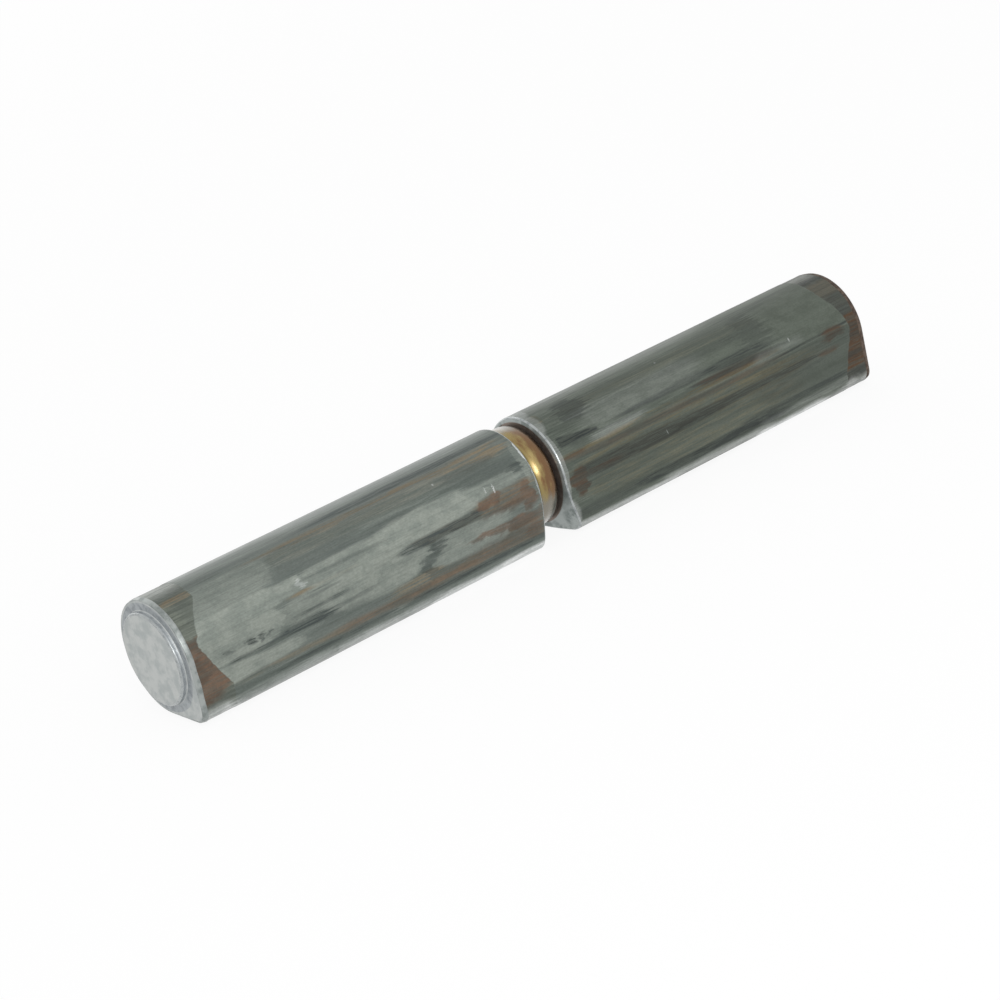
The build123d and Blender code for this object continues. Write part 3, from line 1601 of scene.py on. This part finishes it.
@dataclass
class Studio:
    """Pale floor, soft lights and the camera."""

    azimuth: float = -34.55           # degrees, 0 looks along +Y
    elevation: float = 20.37
    roll: float = 13.25
    distance: float = 519.23          # mm from the aim to the camera
    aim: tuple[float, float, float] = (-3.464, 1.119, 7.191)
    lens: float = 110.66
    sensor_width: float = 36.0
    room_light: float = 0.8
    floor_reach: float = 6000.0       # from the hinge to the floor's edge
    floor_drop: float = 0.2           # the floor lies just clear of the hinge
    floor_glow: float = 0.9           # how white it stays where it is seen
    lamps: tuple[Lamp, ...] = (
        Lamp("key", (50.0, -600.0, 450.0), 600.0, 0.5),
        Lamp("rim", (100.0, 800.0, 300.0), 800.0, 1.0),
        # beside the camera, for the bright spot on the washer's crown
        Lamp("flash", (-340.0, -660.0, 290.0), 220.0, 2.1),
    )

    def build(self) -> None:
        """Build the floor, the lights and the camera."""
        self._floor()
        self._world()
        for lamp in self.lamps:
            lamp.build()
        self._camera()

    def _floor(self) -> None:
        """Add the pale floor, which keeps the hinge's soft shadow."""
        paint, tree = blank_material("pale_floor")
        matt = add_node(tree, "BsdfDiffuse", {"Color": linear("#f4f4f4")})
        glow = add_node(tree, "Emission", {"Color": linear("#ffffff"), "Strength": 1.0})
        share = add_node(
            tree, "Math", {0: self._seen_white(tree), 1: self.floor_glow}, operation="MULTIPLY"
        )
        mixed = add_node(tree, "MixShader", {0: share, 1: matt, 2: glow})
        add_node(tree, "OutputMaterial", {0: mixed})
        reach, down = self.floor_reach * MM, -self.floor_drop * MM
        corners = [(x * reach, y * reach, down) for x, y in ((-1, -1), (1, -1), (1, 1), (-1, 1))]
        mesh = bpy.data.meshes.new("floor")
        mesh.from_pydata(corners, [], [(0, 1, 2, 3)])
        mesh.materials.append(paint)
        made = bpy.data.objects.new("floor", mesh)
        bpy.context.collection.objects.link(made)

    def _seen_white(self, tree: bpy.types.NodeTree) -> Feed:
        """1 for what the camera sees straight, in a reflection or through glass, else 0.

        Args:
            tree: node tree that gets it.

        Returns:
            The share.
        """
        ray = add_node(tree, "LightPath")
        seen = ray.outputs["Is Camera Ray"]
        for kind in ("Is Glossy Ray", "Is Transmission Ray"):
            seen = add_node(tree, "Math", {0: seen, 1: ray.outputs[kind]}, operation="MAXIMUM")
        return seen

    def _world(self) -> None:
        """Light the room evenly, and show it white in the background and in the metal."""
        world = bpy.data.worlds.new("room")
        bpy.context.scene.world = world
        world.use_nodes = True
        tree = world.node_tree
        tree.nodes.clear()
        strength = add_node(
            tree,
            "Mix",
            {0: self._seen_white(tree), 2: self.room_light, 3: 1.0},
            data_type="FLOAT",
        )
        glow = add_node(tree, "Background", {"Color": linear("#ffffff"), "Strength": strength})
        add_node(tree, "OutputWorld", {0: glow})

    def _camera(self) -> None:
        """Add the camera."""
        turn, rise = math.radians(self.azimuth), math.radians(self.elevation)
        back = Vector(
            (math.sin(turn) * math.cos(rise), -math.cos(turn) * math.cos(rise), math.sin(rise))
        )
        right = Vector((0, 0, 1)).cross(back).normalized()
        up = back.cross(right)
        basis = Matrix((right, up, back)).transposed().to_4x4()
        level = Matrix.Rotation(-math.radians(self.roll), 4, "Z")
        data = bpy.data.cameras.new("camera")
        data.lens = self.lens
        data.sensor_width = self.sensor_width
        data.clip_start = 10 * MM
        made = bpy.data.objects.new("camera", data)
        spot = Vector(self.aim) * MM + back * self.distance * MM
        made.matrix_world = Matrix.Translation(spot) @ basis @ level
        bpy.context.collection.objects.link(made)
        bpy.context.scene.camera = made


# Dull grey-green with fine lines along it, rubbed pale in its middle and brown near both ends,
# so the near half looks handled and a little oily.
LOWER_STEEL = DrawnSteel(
    name="drawn_steel_lower",
    side=Half.LOWER,
    underfill=Underfill(reach=69.4),
    scale=Coat("#686f69", "#5b635d", 1.0),
    end=Coat("#656b61", "#4e544c", 1.0, 0.12, -0.2),
    coats=(
        (Mark.FILM, Coat("#786b54", "#5b503c", 0.15, 0.08, -0.1)),
        (Mark.WIPED, Coat("#868c84", "#777e77", 0.9, -0.03, 0.05, lined=0.2)),
        # this dark coat also paints shade where the top's sheen falls away and before the weld corner
        (Mark.DARK, Coat("#3c4442", "#272e2c", 0.4, 0.02)),
        (Mark.RUST, Coat("#5f4938", "#47392c", 0.7, 0.2, -0.3, lined=0.4)),
        # this near-white coat also paints the highlights along the weld corner, over the top and on the
        # lip's burr
        (Mark.BARE, Coat("#dee0df", "#bec2c0", 0.95, -0.1, 0.3, lined=0.3)),
    ),
    patches=(
        # the pale end of the skin, with its tongues towards the middle
        Patch(Mark.WIPED, 51.5, 74.0, 112, 145, 0.5, soft=1.0, fray=0.3, scallop=1.2),
        Patch(Mark.WIPED, 52.0, 74.0, 143, 164, 1.0, fray=0.3, scallop=0.8),
        Patch(Mark.WIPED, 47.8, 55.0, 146, 160, 1.0, soft=0.3, fray=0.0, point=1.0),
        Patch(Mark.WIPED, 53.5, 74.0, 158, 192, 1.0, fray=0.4, scallop=1.0),
        Patch(Mark.WIPED, 50.5, 72.0, 194, 208, 1.0, fray=0.3, lean=-2.0, taper=-3.0),
        # the pale middle
        Patch(Mark.WIPED, 30.0, 49.0, 145, 165, 0.8, fray=1.5),
        Patch(Mark.WIPED, 9.0, 34.0, 140, 166, 1.0, fray=0.6, taper=-3.0, point=4.0),
        Patch(Mark.WIPED, 2.5, 14.0, 146, 159, 0.5),
        Patch(Mark.WIPED, 24.6, 47.0, 163, 199, 1.0, soft=0.8, fray=0.6, scallop=1.4),
        Patch(Mark.WIPED, 43.0, 54.0, 163, 188, 0.6, fray=3.0),
        Patch(Mark.WIPED, 6.5, 22.8, 175, 191, 0.85, fray=0.5, scallop=1.0, lean=-3.0, taper=-2.0),
        Patch(Mark.WIPED, 8.0, 24.0, 189, 204, 1.0, fray=0.5, scallop=1.0, taper=2.0),
        Patch(Mark.WIPED, 0.6, 2.2, 122, 162, 0.5, soft=0.6, fray=0.1, scallop=0.3),
        # dark scale, with painted shade where the top's sheen falls away and before the weld corner
        # dark scale, and painted shade where the top's sheen falls away
        Patch(Mark.DARK, -2.0, 46.0, 98, 107, 1.0, soft=0.5, fray=3.0, sway=0.8, point=30.0),
        Patch(Mark.DARK, 30.0, 70.0, 101, 107, 0.45, soft=0.8, fray=3.0, sway=0.8, point=20.0),
        Patch(Mark.DARK, 24.5, 53.5, 137, 143.5, 0.6, soft=0.5, fray=2.0, lean=5.0, point=12.0),
        Patch(Mark.DARK, 8.0, 18.0, 133, 137, 0.5, soft=0.5, fray=2.0, lean=2.0, point=8.0),
        # more painted shade where the top's sheen falls away
        Patch(Mark.DARK, 10.0, 50.0, 105, 117, 0.35, soft=1.0, fray=3.0, point=6.0),
        Patch(Mark.DARK, 4.0, 58.0, 206, 211.5, 0.25, soft=0.8, fray=3.0, point=8.0),
        Patch(Mark.DARK, 38.0, 48.0, 193, 199, 0.35, soft=0.8, fray=2.0, point=6.0),
        Patch(Mark.DARK, 34.0, 53.5, 130, 143, 0.45, soft=1.0, fray=2.0, scallop=1.2),
        Patch(Mark.DARK, 2.0, 15.0, 132, 145, 0.55, soft=0.9, fray=2.0),
        Patch(Mark.DARK, 5.5, 17.0, 122, 132, 0.5, soft=0.8, fray=2.0),
        Patch(Mark.DARK, 2.0, 5.0, 140, 152, 0.8, soft=0.5, taper=2.0),
        Patch(Mark.DARK, 31.0, 47.0, 151, 154, 0.5, soft=0.4, fray=3.0, point=8.0),
        Patch(Mark.DARK, 44.5, 56.5, 186, 194, 1.0, soft=0.5, fray=2.0, taper=2.0, point=6.0),
        Patch(Mark.DARK, 36.0, 46.0, 187, 191, 0.5, soft=0.5, fray=2.0, point=8.0),
        Patch(Mark.DARK, 53.0, 65.0, 189.5, 192.5, 0.9, soft=0.3, point=8.0),
        Patch(Mark.DARK, 41.0, 51.0, 178, 182, 0.7, soft=0.4, fray=2.0, point=6.0),
        Patch(Mark.DARK, 43.0, 50.0, 167, 170, 0.4, soft=0.4, fray=2.0, point=6.0),
        Patch(Mark.DARK, 33.0, 50.0, 197, 206, 0.35, soft=1.0, fray=3.0, lean=-3.0, point=6.0),
        Patch(Mark.DARK, 12.0, 30.5, 166, 175, 1.0, soft=0.5, fray=1.0, lean=3.0, point=5.0),
        Patch(Mark.DARK, 20.8, 24.6, 172, 189, 0.7, soft=0.8, fray=1.0, scallop=1.2, lean=8.0),
        Patch(Mark.DARK, 23.8, 26.4, 186, 208, 0.55, soft=0.8, scallop=1.2),
        Patch(Mark.DARK, 2.0, 26.0, 202, 207, 0.5, soft=0.6, fray=2.0, point=8.0),
        Patch(Mark.DARK, 3.0, 12.0, 158, 164, 0.4, soft=0.8, fray=2.0),
        Patch(Mark.DARK, 59.8, 61.4, 178, 185, 0.9, soft=0.6, scallop=1.0, point=1.0),
        Patch(Mark.DARK, 57.6, 59.2, 178, 187, 0.8, soft=0.6, scallop=1.0, point=1.0),
        Patch(Mark.DARK, 55.8, 57.0, 180, 184, 0.8, soft=0.5, scallop=0.8, point=1.0),
        Patch(Mark.DARK, 64.0, 65.6, 180, 184, 0.8, soft=0.5, point=1.0),
        # painted shade: a dark line where the flat turns into the weld corner
        Patch(Mark.DARK, -1.0, 31.0, 213, 216.5, 0.9, soft=0.4, fray=2.0, sway=0.6, point=8.0),
        Patch(Mark.DARK, 35.0, 58.0, 213, 216.5, 0.8, soft=0.4, fray=3.0, sway=0.6, point=8.0),
        Patch(Mark.DARK, 54.0, 76.0, 213, 216.5, 0.35, soft=0.4, fray=3.0, sway=0.6, zone=Zone.BOTH),
        # brown film
        Patch(Mark.FILM, -1.0, 53.5, 108.5, 114.5, 1.0, soft=0.5, fray=3.0, point=20.0),
        Patch(Mark.FILM, 2.5, 18.5, 110, 124, 0.9, soft=1.2, fray=2.0, taper=4.0),
        Patch(Mark.FILM, 36.0, 46.0, 110, 119, 0.6, soft=1.0, fray=3.0),
        Patch(Mark.FILM, 1.0, 52.0, 114, 130, 0.2, soft=1.2, fray=3.0),
        Patch(Mark.FILM, 1.0, 68.0, 207, 212.5, 0.6, soft=0.6, fray=2.0, taper=1.5, point=12.0),
        Patch(Mark.FILM, 38.0, 52.5, 160, 163.5, 0.8, soft=0.4, fray=2.0, point=8.0),
        Patch(Mark.FILM, 11.0, 29.0, 166, 175, 0.9, soft=0.6, fray=2.0, point=5.0),
        Patch(Mark.FILM, 0.6, 15.0, 159, 178, 0.8, soft=1.0, fray=1.0),
        Patch(Mark.FILM, 1.0, 34.0, 198, 213, 0.7, soft=1.0, fray=3.0),
        # rust
        Patch(Mark.RUST, 7.8, 13.2, 160, 172, 0.9, soft=1.1, fray=0.5, scallop=1.2, ragged=5.0, point=1.0),
        Patch(Mark.RUST, 0.8, 4.6, 160, 188, 0.85, soft=1.2, fray=0.5, scallop=1.4, ragged=5.0),
        Patch(Mark.RUST, 2.0, 12.5, 172, 181, 0.8, soft=1.0, fray=1.0, ragged=3.0, taper=2.5, point=5.0),
        Patch(Mark.RUST, 3.0, 8.5, 161, 173, 0.5, soft=1.4, scallop=1.0, ragged=4.0),
        Patch(Mark.RUST, 0.8, 17.5, 190, 200, 0.8, ragged=3.0, lean=-5.0, taper=3.0, point=8.0),
        Patch(Mark.RUST, 0.8, 5.0, 202, 213, 0.8, soft=0.8, scallop=1.0),
        Patch(Mark.RUST, 2.0, 46.0, 206.5, 212.5, 0.55, soft=0.7, fray=3.0, point=12.0),
        Patch(Mark.RUST, 1.0, 17.0, 202, 212, 0.4, soft=1.2, fray=2.0, ragged=2.0, point=4.0),
        Patch(Mark.RUST, 64.0, 78.0, 166, 214, 1.0, soft=1.0, scallop=0.8, ragged=3.0, zone=Zone.END),
        Patch(Mark.RUST, 66.5, 72.5, 157, 176, 0.9, soft=1.0, ragged=3.0, point=1.0, zone=Zone.END),
        Patch(Mark.FILM, 65.5, 71.0, 108, 117, 1.0, soft=1.0, scallop=1.0, zone=Zone.END),
        # painted shade where the top's sheen falls away, on the closed end
        Patch(Mark.DARK, 65.0, 78.0, 97, 108, 0.5, soft=0.8, zone=Zone.END),
        Patch(Mark.DARK, 65.5, 69.5, 117, 150, 0.35, soft=1.4, lean=-10.0, zone=Zone.END),
        # rubbed bare, and painted highlights and sheen
        # partly a corner rubbed pale, partly a painted highlight of the white floor's reflection on the
        # corner's rounding
        Patch(Mark.BARE, -3.0, 27.0, 220.2, 238, 1.0, soft=0.8, point=4.0, zone=Zone.BOTH),
        Patch(Mark.BARE, 20.0, 46.0, 219.3, 231, 0.42, soft=0.8, point=2.0, zone=Zone.BOTH),
        Patch(Mark.BARE, 44.0, 70.0, 220.5, 236, 0.35, soft=1.5, scallop=1.0, zone=Zone.BOTH),
        Patch(Mark.BARE, 64.0, 80.0, 218.5, 238, 0.7, soft=1.2, scallop=1.0, zone=Zone.BOTH),
        # painted sheen over the top of the barrel
        Patch(Mark.BARE, -3.0, 50.0, 50, 93, 0.1, soft=2.5),
        # painted highlight on the burr of the lip
        Patch(Mark.BARE, 0.2, 0.75, 122, 147, 1.0, soft=0.3, fray=0.1, scallop=0.2),
        Patch(Mark.BARE, 0.2, 0.6, 147, 207, 0.4, soft=0.3, fray=0.1, scallop=0.2),
        # painted highlights over the top of the closed end and the skin before it
        Patch(Mark.BARE, 65.0, 73.5, 66, 97, 0.3, soft=4.0, scallop=1.0, ragged=2.0, zone=Zone.END),
        Patch(Mark.BARE, 50.0, 74.0, 58, 82, 0.22, soft=3.0, fray=2.0),
        Patch(Mark.BARE, 48.0, 49.2, 149, 159, 0.3, soft=0.6, scallop=0.6, point=1.0),
        Patch(Mark.BARE, 10.2, 10.5, 151, 156, 0.35, soft=0.25, fray=0.3, scallop=0.2, lean=3.0),
        Patch(Mark.BARE, 8.6, 8.95, 151.5, 159, 0.5, soft=0.25, fray=0.3, scallop=0.2, lean=3.0),
        Patch(Mark.BARE, 17.9, 18.2, 124, 125.6, 0.35, soft=0.25, fray=0.0, scallop=0.0, point=1.0),
    ),
)

# Darker and drier than the lower half, with long black and brown streaks: it looks unhandled.
UPPER_STEEL = DrawnSteel(
    name="drawn_steel_upper",
    side=Half.UPPER,
    underfill=Underfill(reach=68.9, middle=57.0, retreat=2.7, curve=1.3),
    scale=Coat("#5b6259", "#4b524a", 1.0),
    end=Coat("#555950", "#3e3f38", 1.0, 0.15, -0.2),
    oil=0.0,
    coats=(
        (Mark.FILM, Coat("#5c553d", "#454130", 0.1, 0.08, -0.1)),
        (Mark.WIPED, Coat("#565d54", "#4e554c", 1.0, -0.03, 0.05, lined=0.2)),
        # this dark coat also paints shade before the weld corner and where the top's sheen falls away
        (Mark.DARK, Coat("#2c3230", "#1b201e", 0.45, 0.02)),
        (Mark.RUST, Coat("#46321f", "#2f251a", 0.6, 0.2, -0.3, lined=0.6)),
        # this near-white coat also paints the highlights along the weld corner, over the top and at the
        # top of the closed end
        (Mark.BARE, Coat("#dee0df", "#bec2c0", 0.95, -0.1, 0.3, lined=0.3)),
    ),
    patches=(
        # paler, smoother stretches, with painted sheen over the top
        Patch(Mark.WIPED, 8.0, 50.0, 128, 144, 0.7, soft=1.5, fray=3.0, point=4.0),
        Patch(Mark.BARE, 8.0, 36.0, 120, 146, 0.07, soft=2.5, fray=3.0),
        # painted sheen over the top of the barrel
        Patch(Mark.BARE, -3.0, 44.0, 50, 95, 0.1, soft=2.5, fray=2.0),
        Patch(Mark.BARE, -3.0, 17.0, 52, 88, 0.2, soft=3.0, fray=2.0),
        Patch(Mark.WIPED, 52.0, 75.0, 96, 165, 1.0, soft=1.2, fray=0.6, scallop=1.0),
        Patch(Mark.WIPED, 54.0, 75.0, 189, 208, 0.7, soft=1.2, fray=2.0, lean=-4.0),
        Patch(Mark.BARE, 8.5, 20.0, 150, 159, 0.12, soft=0.8, fray=2.0, point=5.0),
        Patch(Mark.BARE, 46.0, 58.0, 154, 163, 0.06, soft=1.0, fray=0.6),
        Patch(Mark.BARE, 44.0, 72.0, 214.5, 219, 0.1, soft=0.8, taper=-1.5),
        Patch(Mark.DARK, 44.0, 74.0, 168, 212, 0.32, soft=1.5, fray=3.0),
        # dark scale, with painted shade before the weld corner and where the top's sheen falls away
        Patch(Mark.DARK, 5.8, 11.5, 99, 131, 0.7, soft=0.8, fray=2.0, scallop=1.0),
        Patch(Mark.DARK, 1.8, 10.8, 142, 150, 1.0, soft=0.5, fray=0.5, lean=5.0, taper=2.5, point=1.0),
        Patch(Mark.DARK, 3.5, 8.5, 146, 154, 0.5, soft=0.8, fray=1.0),
        Patch(Mark.DARK, 15.0, 36.0, 143, 150, 0.75, soft=0.6, fray=3.0, taper=-1.5, point=12.0),
        Patch(Mark.DARK, 32.0, 51.5, 142, 152, 0.9, soft=0.6, fray=3.0, taper=-1.5, point=12.0),
        Patch(Mark.DARK, 32.0, 50.0, 153, 157, 0.8, soft=0.4, fray=3.0, point=12.0),
        Patch(Mark.DARK, 46.5, 52.5, 100, 150, 0.45, soft=1.5, fray=3.0, scallop=1.2),
        Patch(Mark.DARK, 26.0, 50.0, 122, 130, 0.35, soft=1.0, fray=3.0, point=8.0),
        Patch(Mark.DARK, 2.5, 64.5, 177, 188, 0.8, soft=0.6, fray=3.0, taper=3.0, point=8.0),
        Patch(Mark.DARK, 49.0, 70.5, 163.5, 166, 0.9, soft=0.3, sway=0.8, lean=-2.0, point=12.0),
        Patch(Mark.DARK, 49.0, 63.0, 189, 194, 0.6, soft=0.6, fray=2.0, lean=-6.0, point=8.0),
        # painted shade: a dark line where the flat turns into the weld corner
        Patch(Mark.DARK, -1.0, 18.0, 211, 217.5, 0.6, soft=0.6, fray=2.0, sway=0.8, point=8.0),
        Patch(Mark.DARK, 14.0, 52.0, 211, 217.5, 0.9, soft=0.4, fray=1.0, sway=0.8, point=10.0),
        Patch(Mark.DARK, 40.0, 71.0, 208, 213.5, 0.8, soft=0.5, fray=1.0, sway=0.8, point=10.0),
        # painted shade where the top's sheen falls away, on the closed end
        Patch(Mark.DARK, 65.0, 78.0, 97, 107, 0.8, soft=0.8, fray=2.0, zone=Zone.END),
        Patch(Mark.DARK, 65.0, 78.0, 131, 156, 0.6, soft=0.8, fray=2.0, zone=Zone.END),
        # painted shade: the dark line before the weld corner, on the closed end
        Patch(Mark.DARK, 62.0, 78.0, 210, 218, 0.7, soft=0.8, zone=Zone.END),
        # brown film
        Patch(Mark.FILM, 1.5, 52.0, 156.5, 161, 0.85, soft=0.4, fray=2.0, point=12.0),
        Patch(Mark.FILM, 2.5, 60.0, 168, 190, 0.7, soft=1.0, fray=2.0, point=8.0),
        Patch(Mark.FILM, 5.0, 56.0, 188, 211, 0.4, soft=1.0, fray=3.0, point=4.0),
        Patch(Mark.FILM, 6.0, 52.0, 108, 120, 0.25, soft=1.0, fray=3.0, point=4.0),
        # rust
        Patch(Mark.RUST, 34.0, 50.5, 152, 160, 0.55, soft=0.6, fray=2.0, point=8.0),
        Patch(Mark.RUST, 2.0, 50.5, 162, 168.5, 0.6, soft=0.8, fray=3.0, lean=2.0, point=12.0),
        Patch(Mark.RUST, 1.2, 5.4, 174, 201, 0.9, soft=0.9, fray=0.6, scallop=1.2, ragged=3.0),
        Patch(Mark.RUST, 3.0, 13.0, 182, 187, 0.6, soft=0.5, fray=2.0, point=6.0),
        Patch(Mark.RUST, 1.5, 7.5, 158, 165, 0.7, soft=0.6, fray=1.5, point=4.0),
        Patch(Mark.RUST, 62.5, 68.5, 163, 174, 0.9, soft=0.8, scallop=0.8, ragged=3.0, taper=4.0),
        Patch(Mark.RUST, 61.0, 65.5, 181, 187, 0.7, soft=0.8, fray=1.0, scallop=0.8),
        Patch(Mark.RUST, 64.0, 78.0, 108, 131, 0.35, soft=1.2, fray=2.0, ragged=3.0, zone=Zone.END),
        Patch(Mark.RUST, 62.0, 78.0, 156, 211, 1.0, scallop=0.8, point=1.0, zone=Zone.END),
        # rubbed bare, and painted highlights along the weld corner and at the top of the closed end
        # partly a corner rubbed pale, partly a painted highlight of the white floor's reflection on the
        # corner's rounding
        Patch(Mark.BARE, -3.0, 26.0, 220.5, 227, 0.6, soft=0.8, point=4.0, zone=Zone.BOTH),
        Patch(Mark.BARE, 20.0, 48.0, 219.0, 227, 0.4, soft=1.0, point=4.0, zone=Zone.BOTH),
        Patch(Mark.BARE, 43.0, 62.0, 221.3, 232, 1.0, soft=1.0, point=3.0, zone=Zone.BOTH),
        Patch(Mark.BARE, 60.0, 78.0, 222.0, 231, 0.4, soft=1.2, zone=Zone.BOTH),
        Patch(Mark.BARE, 65.5, 78.0, 219.5, 231, 0.5, soft=1.5, ragged=2.0, zone=Zone.BOTH),
        # painted highlight at the top of the closed end
        Patch(Mark.BARE, 64.0, 73.0, 66, 97, 0.2, soft=4.0, scallop=1.0, ragged=2.0, zone=Zone.END),
        Patch(Mark.BARE, 54.9, 55.2, 153, 157, 0.4, soft=0.25, fray=0.0, scallop=0.0),
        Patch(Mark.BARE, 23.4, 23.7, 182, 184.5, 0.35, soft=0.25, fray=0.0, scallop=0.0, lean=4.0),
        Patch(Mark.BARE, 28.8, 29.1, 110, 111.5, 0.35, soft=0.25, fray=0.0, scallop=0.0),
        # the pale collar next to the running face
        Patch(Mark.BARE, -3.0, 2.8, 60, 101, 0.3, soft=1.2, fray=0.0, scallop=0.15, point=1.0),
        Patch(Mark.FILM, 1.0, 2.8, 102, 117, 0.6, soft=0.8, fray=0.1, scallop=0.3),
        Patch(Mark.BARE, -3.0, 2.0, 90, 134, 0.2, soft=1.2, fray=0.0, scallop=0.15, point=1.0),
        Patch(Mark.BARE, -3.0, 1.3, 110, 215, 0.22, soft=0.8, fray=0.0, scallop=0.1, point=0.5),
        Patch(Mark.BARE, -3.0, 1.9, 200, 230, 0.3, soft=0.8, fray=0.0, scallop=0.15, point=1.0),
    ),
)

# Struck clean by the die: a pale satin grey that makes the closed end the brightest part.
COINED = PlainMetal(
    name="coined_steel",
    bright="#b6b9b7",
    stained="#a9aead",
    roughness=0.42,
    metallic=0.7,
    stain_size=2.2,
    stain_share=0.45,
    grain=0.2,
    relief=0.03,
)
# Fine tool rings round the bevel spread the light into a soft bright band.
TURNED = PlainMetal(
    name="turned_steel",
    bright="#9ca2a0",
    stained="#7a817f",
    roughness=0.34,
    metallic=0.8,
    ring_pitch=0.15,
)
# A warm grey-brown, a step darker than the turned bevel, on the running faces and in the bores; the gap
# between the halves shows it.
FACE_AND_BORE = PlainMetal(
    name="face_and_bore_steel",
    bright="#8d8179",
    stained="#6a605a",
    roughness=0.4,
    metallic=0.8,
    ring_pitch=0.15,
)
# Rust takes the sheen off the upper half's last edge and ends the hinge in a matt brown line.
RUSTED = PlainMetal(
    name="rusted_steel",
    bright="#5a4c40",
    stained="#3a2d24",
    roughness=0.6,
    metallic=0.2,
    stain_size=1.2,
    stain_share=0.5,
    relief=0.05,
)
# Warm gold between the two grey halves, going brown towards the gap from tarnish and painted shade, and
# painted pale at top and bottom as a reflection of the white room.
BRASS = TurnedBrass()
# The pressed edge round the closed end keeps some scale, a step darker than the disc.
SHOULDER = PlainMetal(
    name="pressed_steel",
    bright="#9a9f9d",
    stained="#7d8381",
    roughness=0.36,
    metallic=0.7,
    stain_size=1.6,
    stain_share=0.45,
    relief=0.03,
)
# Painted shade: a darker grey in the crease round the disc and up the disc's wall draws the disc's
# outline.
CREASE_SHADE = PlainMetal(
    name="crease_shade_steel",
    bright="#a0a5a7",
    stained="#8b9093",
    roughness=0.45,
    metallic=0.6,
    stain_size=1.2,
    relief=0.03,
)
# Edges that handling has rubbed smooth catch the light as thin bright lines.
LIP = PlainMetal(
    name="rubbed_steel",
    bright="#a9adad",
    stained="#8c9192",
    roughness=0.26,
    metallic=0.9,
    stain_size=0.8,
    stain_share=0.3,
)
# The smoothest steel here: a plain bright pin, seen only once the halves part.
GROUND = PlainMetal(
    name="ground_steel",
    bright="#9fa1a2",
    stained="#94969a",
    roughness=0.24,
    stain_size=5.0,
    ring_pitch=0.1,
    relief=0.008,
)

# Every finish of a knuckle but its drawn steel.
KNUCKLE_METALS = {
    Finish.COINED: COINED,
    Finish.TURNED: TURNED,
    Finish.FACE_AND_BORE: FACE_AND_BORE,
    Finish.END_EDGE: SHOULDER,
    Finish.LIP: LIP,
    Finish.CREASE_SHADE: CREASE_SHADE,
}


def main() -> None:
    """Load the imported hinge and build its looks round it."""
    logging.basicConfig(level=logging.INFO, format="%(message)s")
    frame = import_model()
    axis_height = DropSection().radius
    finishes = {finish: metal.material(axis_height) for finish, metal in KNUCKLE_METALS.items()}
    Knuckle(
        side=Half.LOWER,
        node="lower_knuckle",
        body="lower_half",
        slot="lower_knuckle_steel",
        steel=LOWER_STEEL,
        bore_radius=6.0,
        bore_depth=41.5,
        seed=100,
    ).build(finishes)
    Knuckle(
        side=Half.UPPER,
        node="upper_knuckle",
        body="upper_half",
        slot="upper_knuckle_steel",
        steel=UPPER_STEEL,
        bore_radius=6.05,
        bore_depth=44.5,
        seed=200,
    ).build({**finishes, Finish.END_EDGE: RUSTED.material(axis_height)})
    ThrustWasher().build(BRASS.material(axis_height), axis_height)
    HingePin().dress(frame, GROUND.material(axis_height))
    Studio().build()
    bpy.context.scene.view_settings.view_transform = "Standard"


if __name__ == "__main__":
    main()
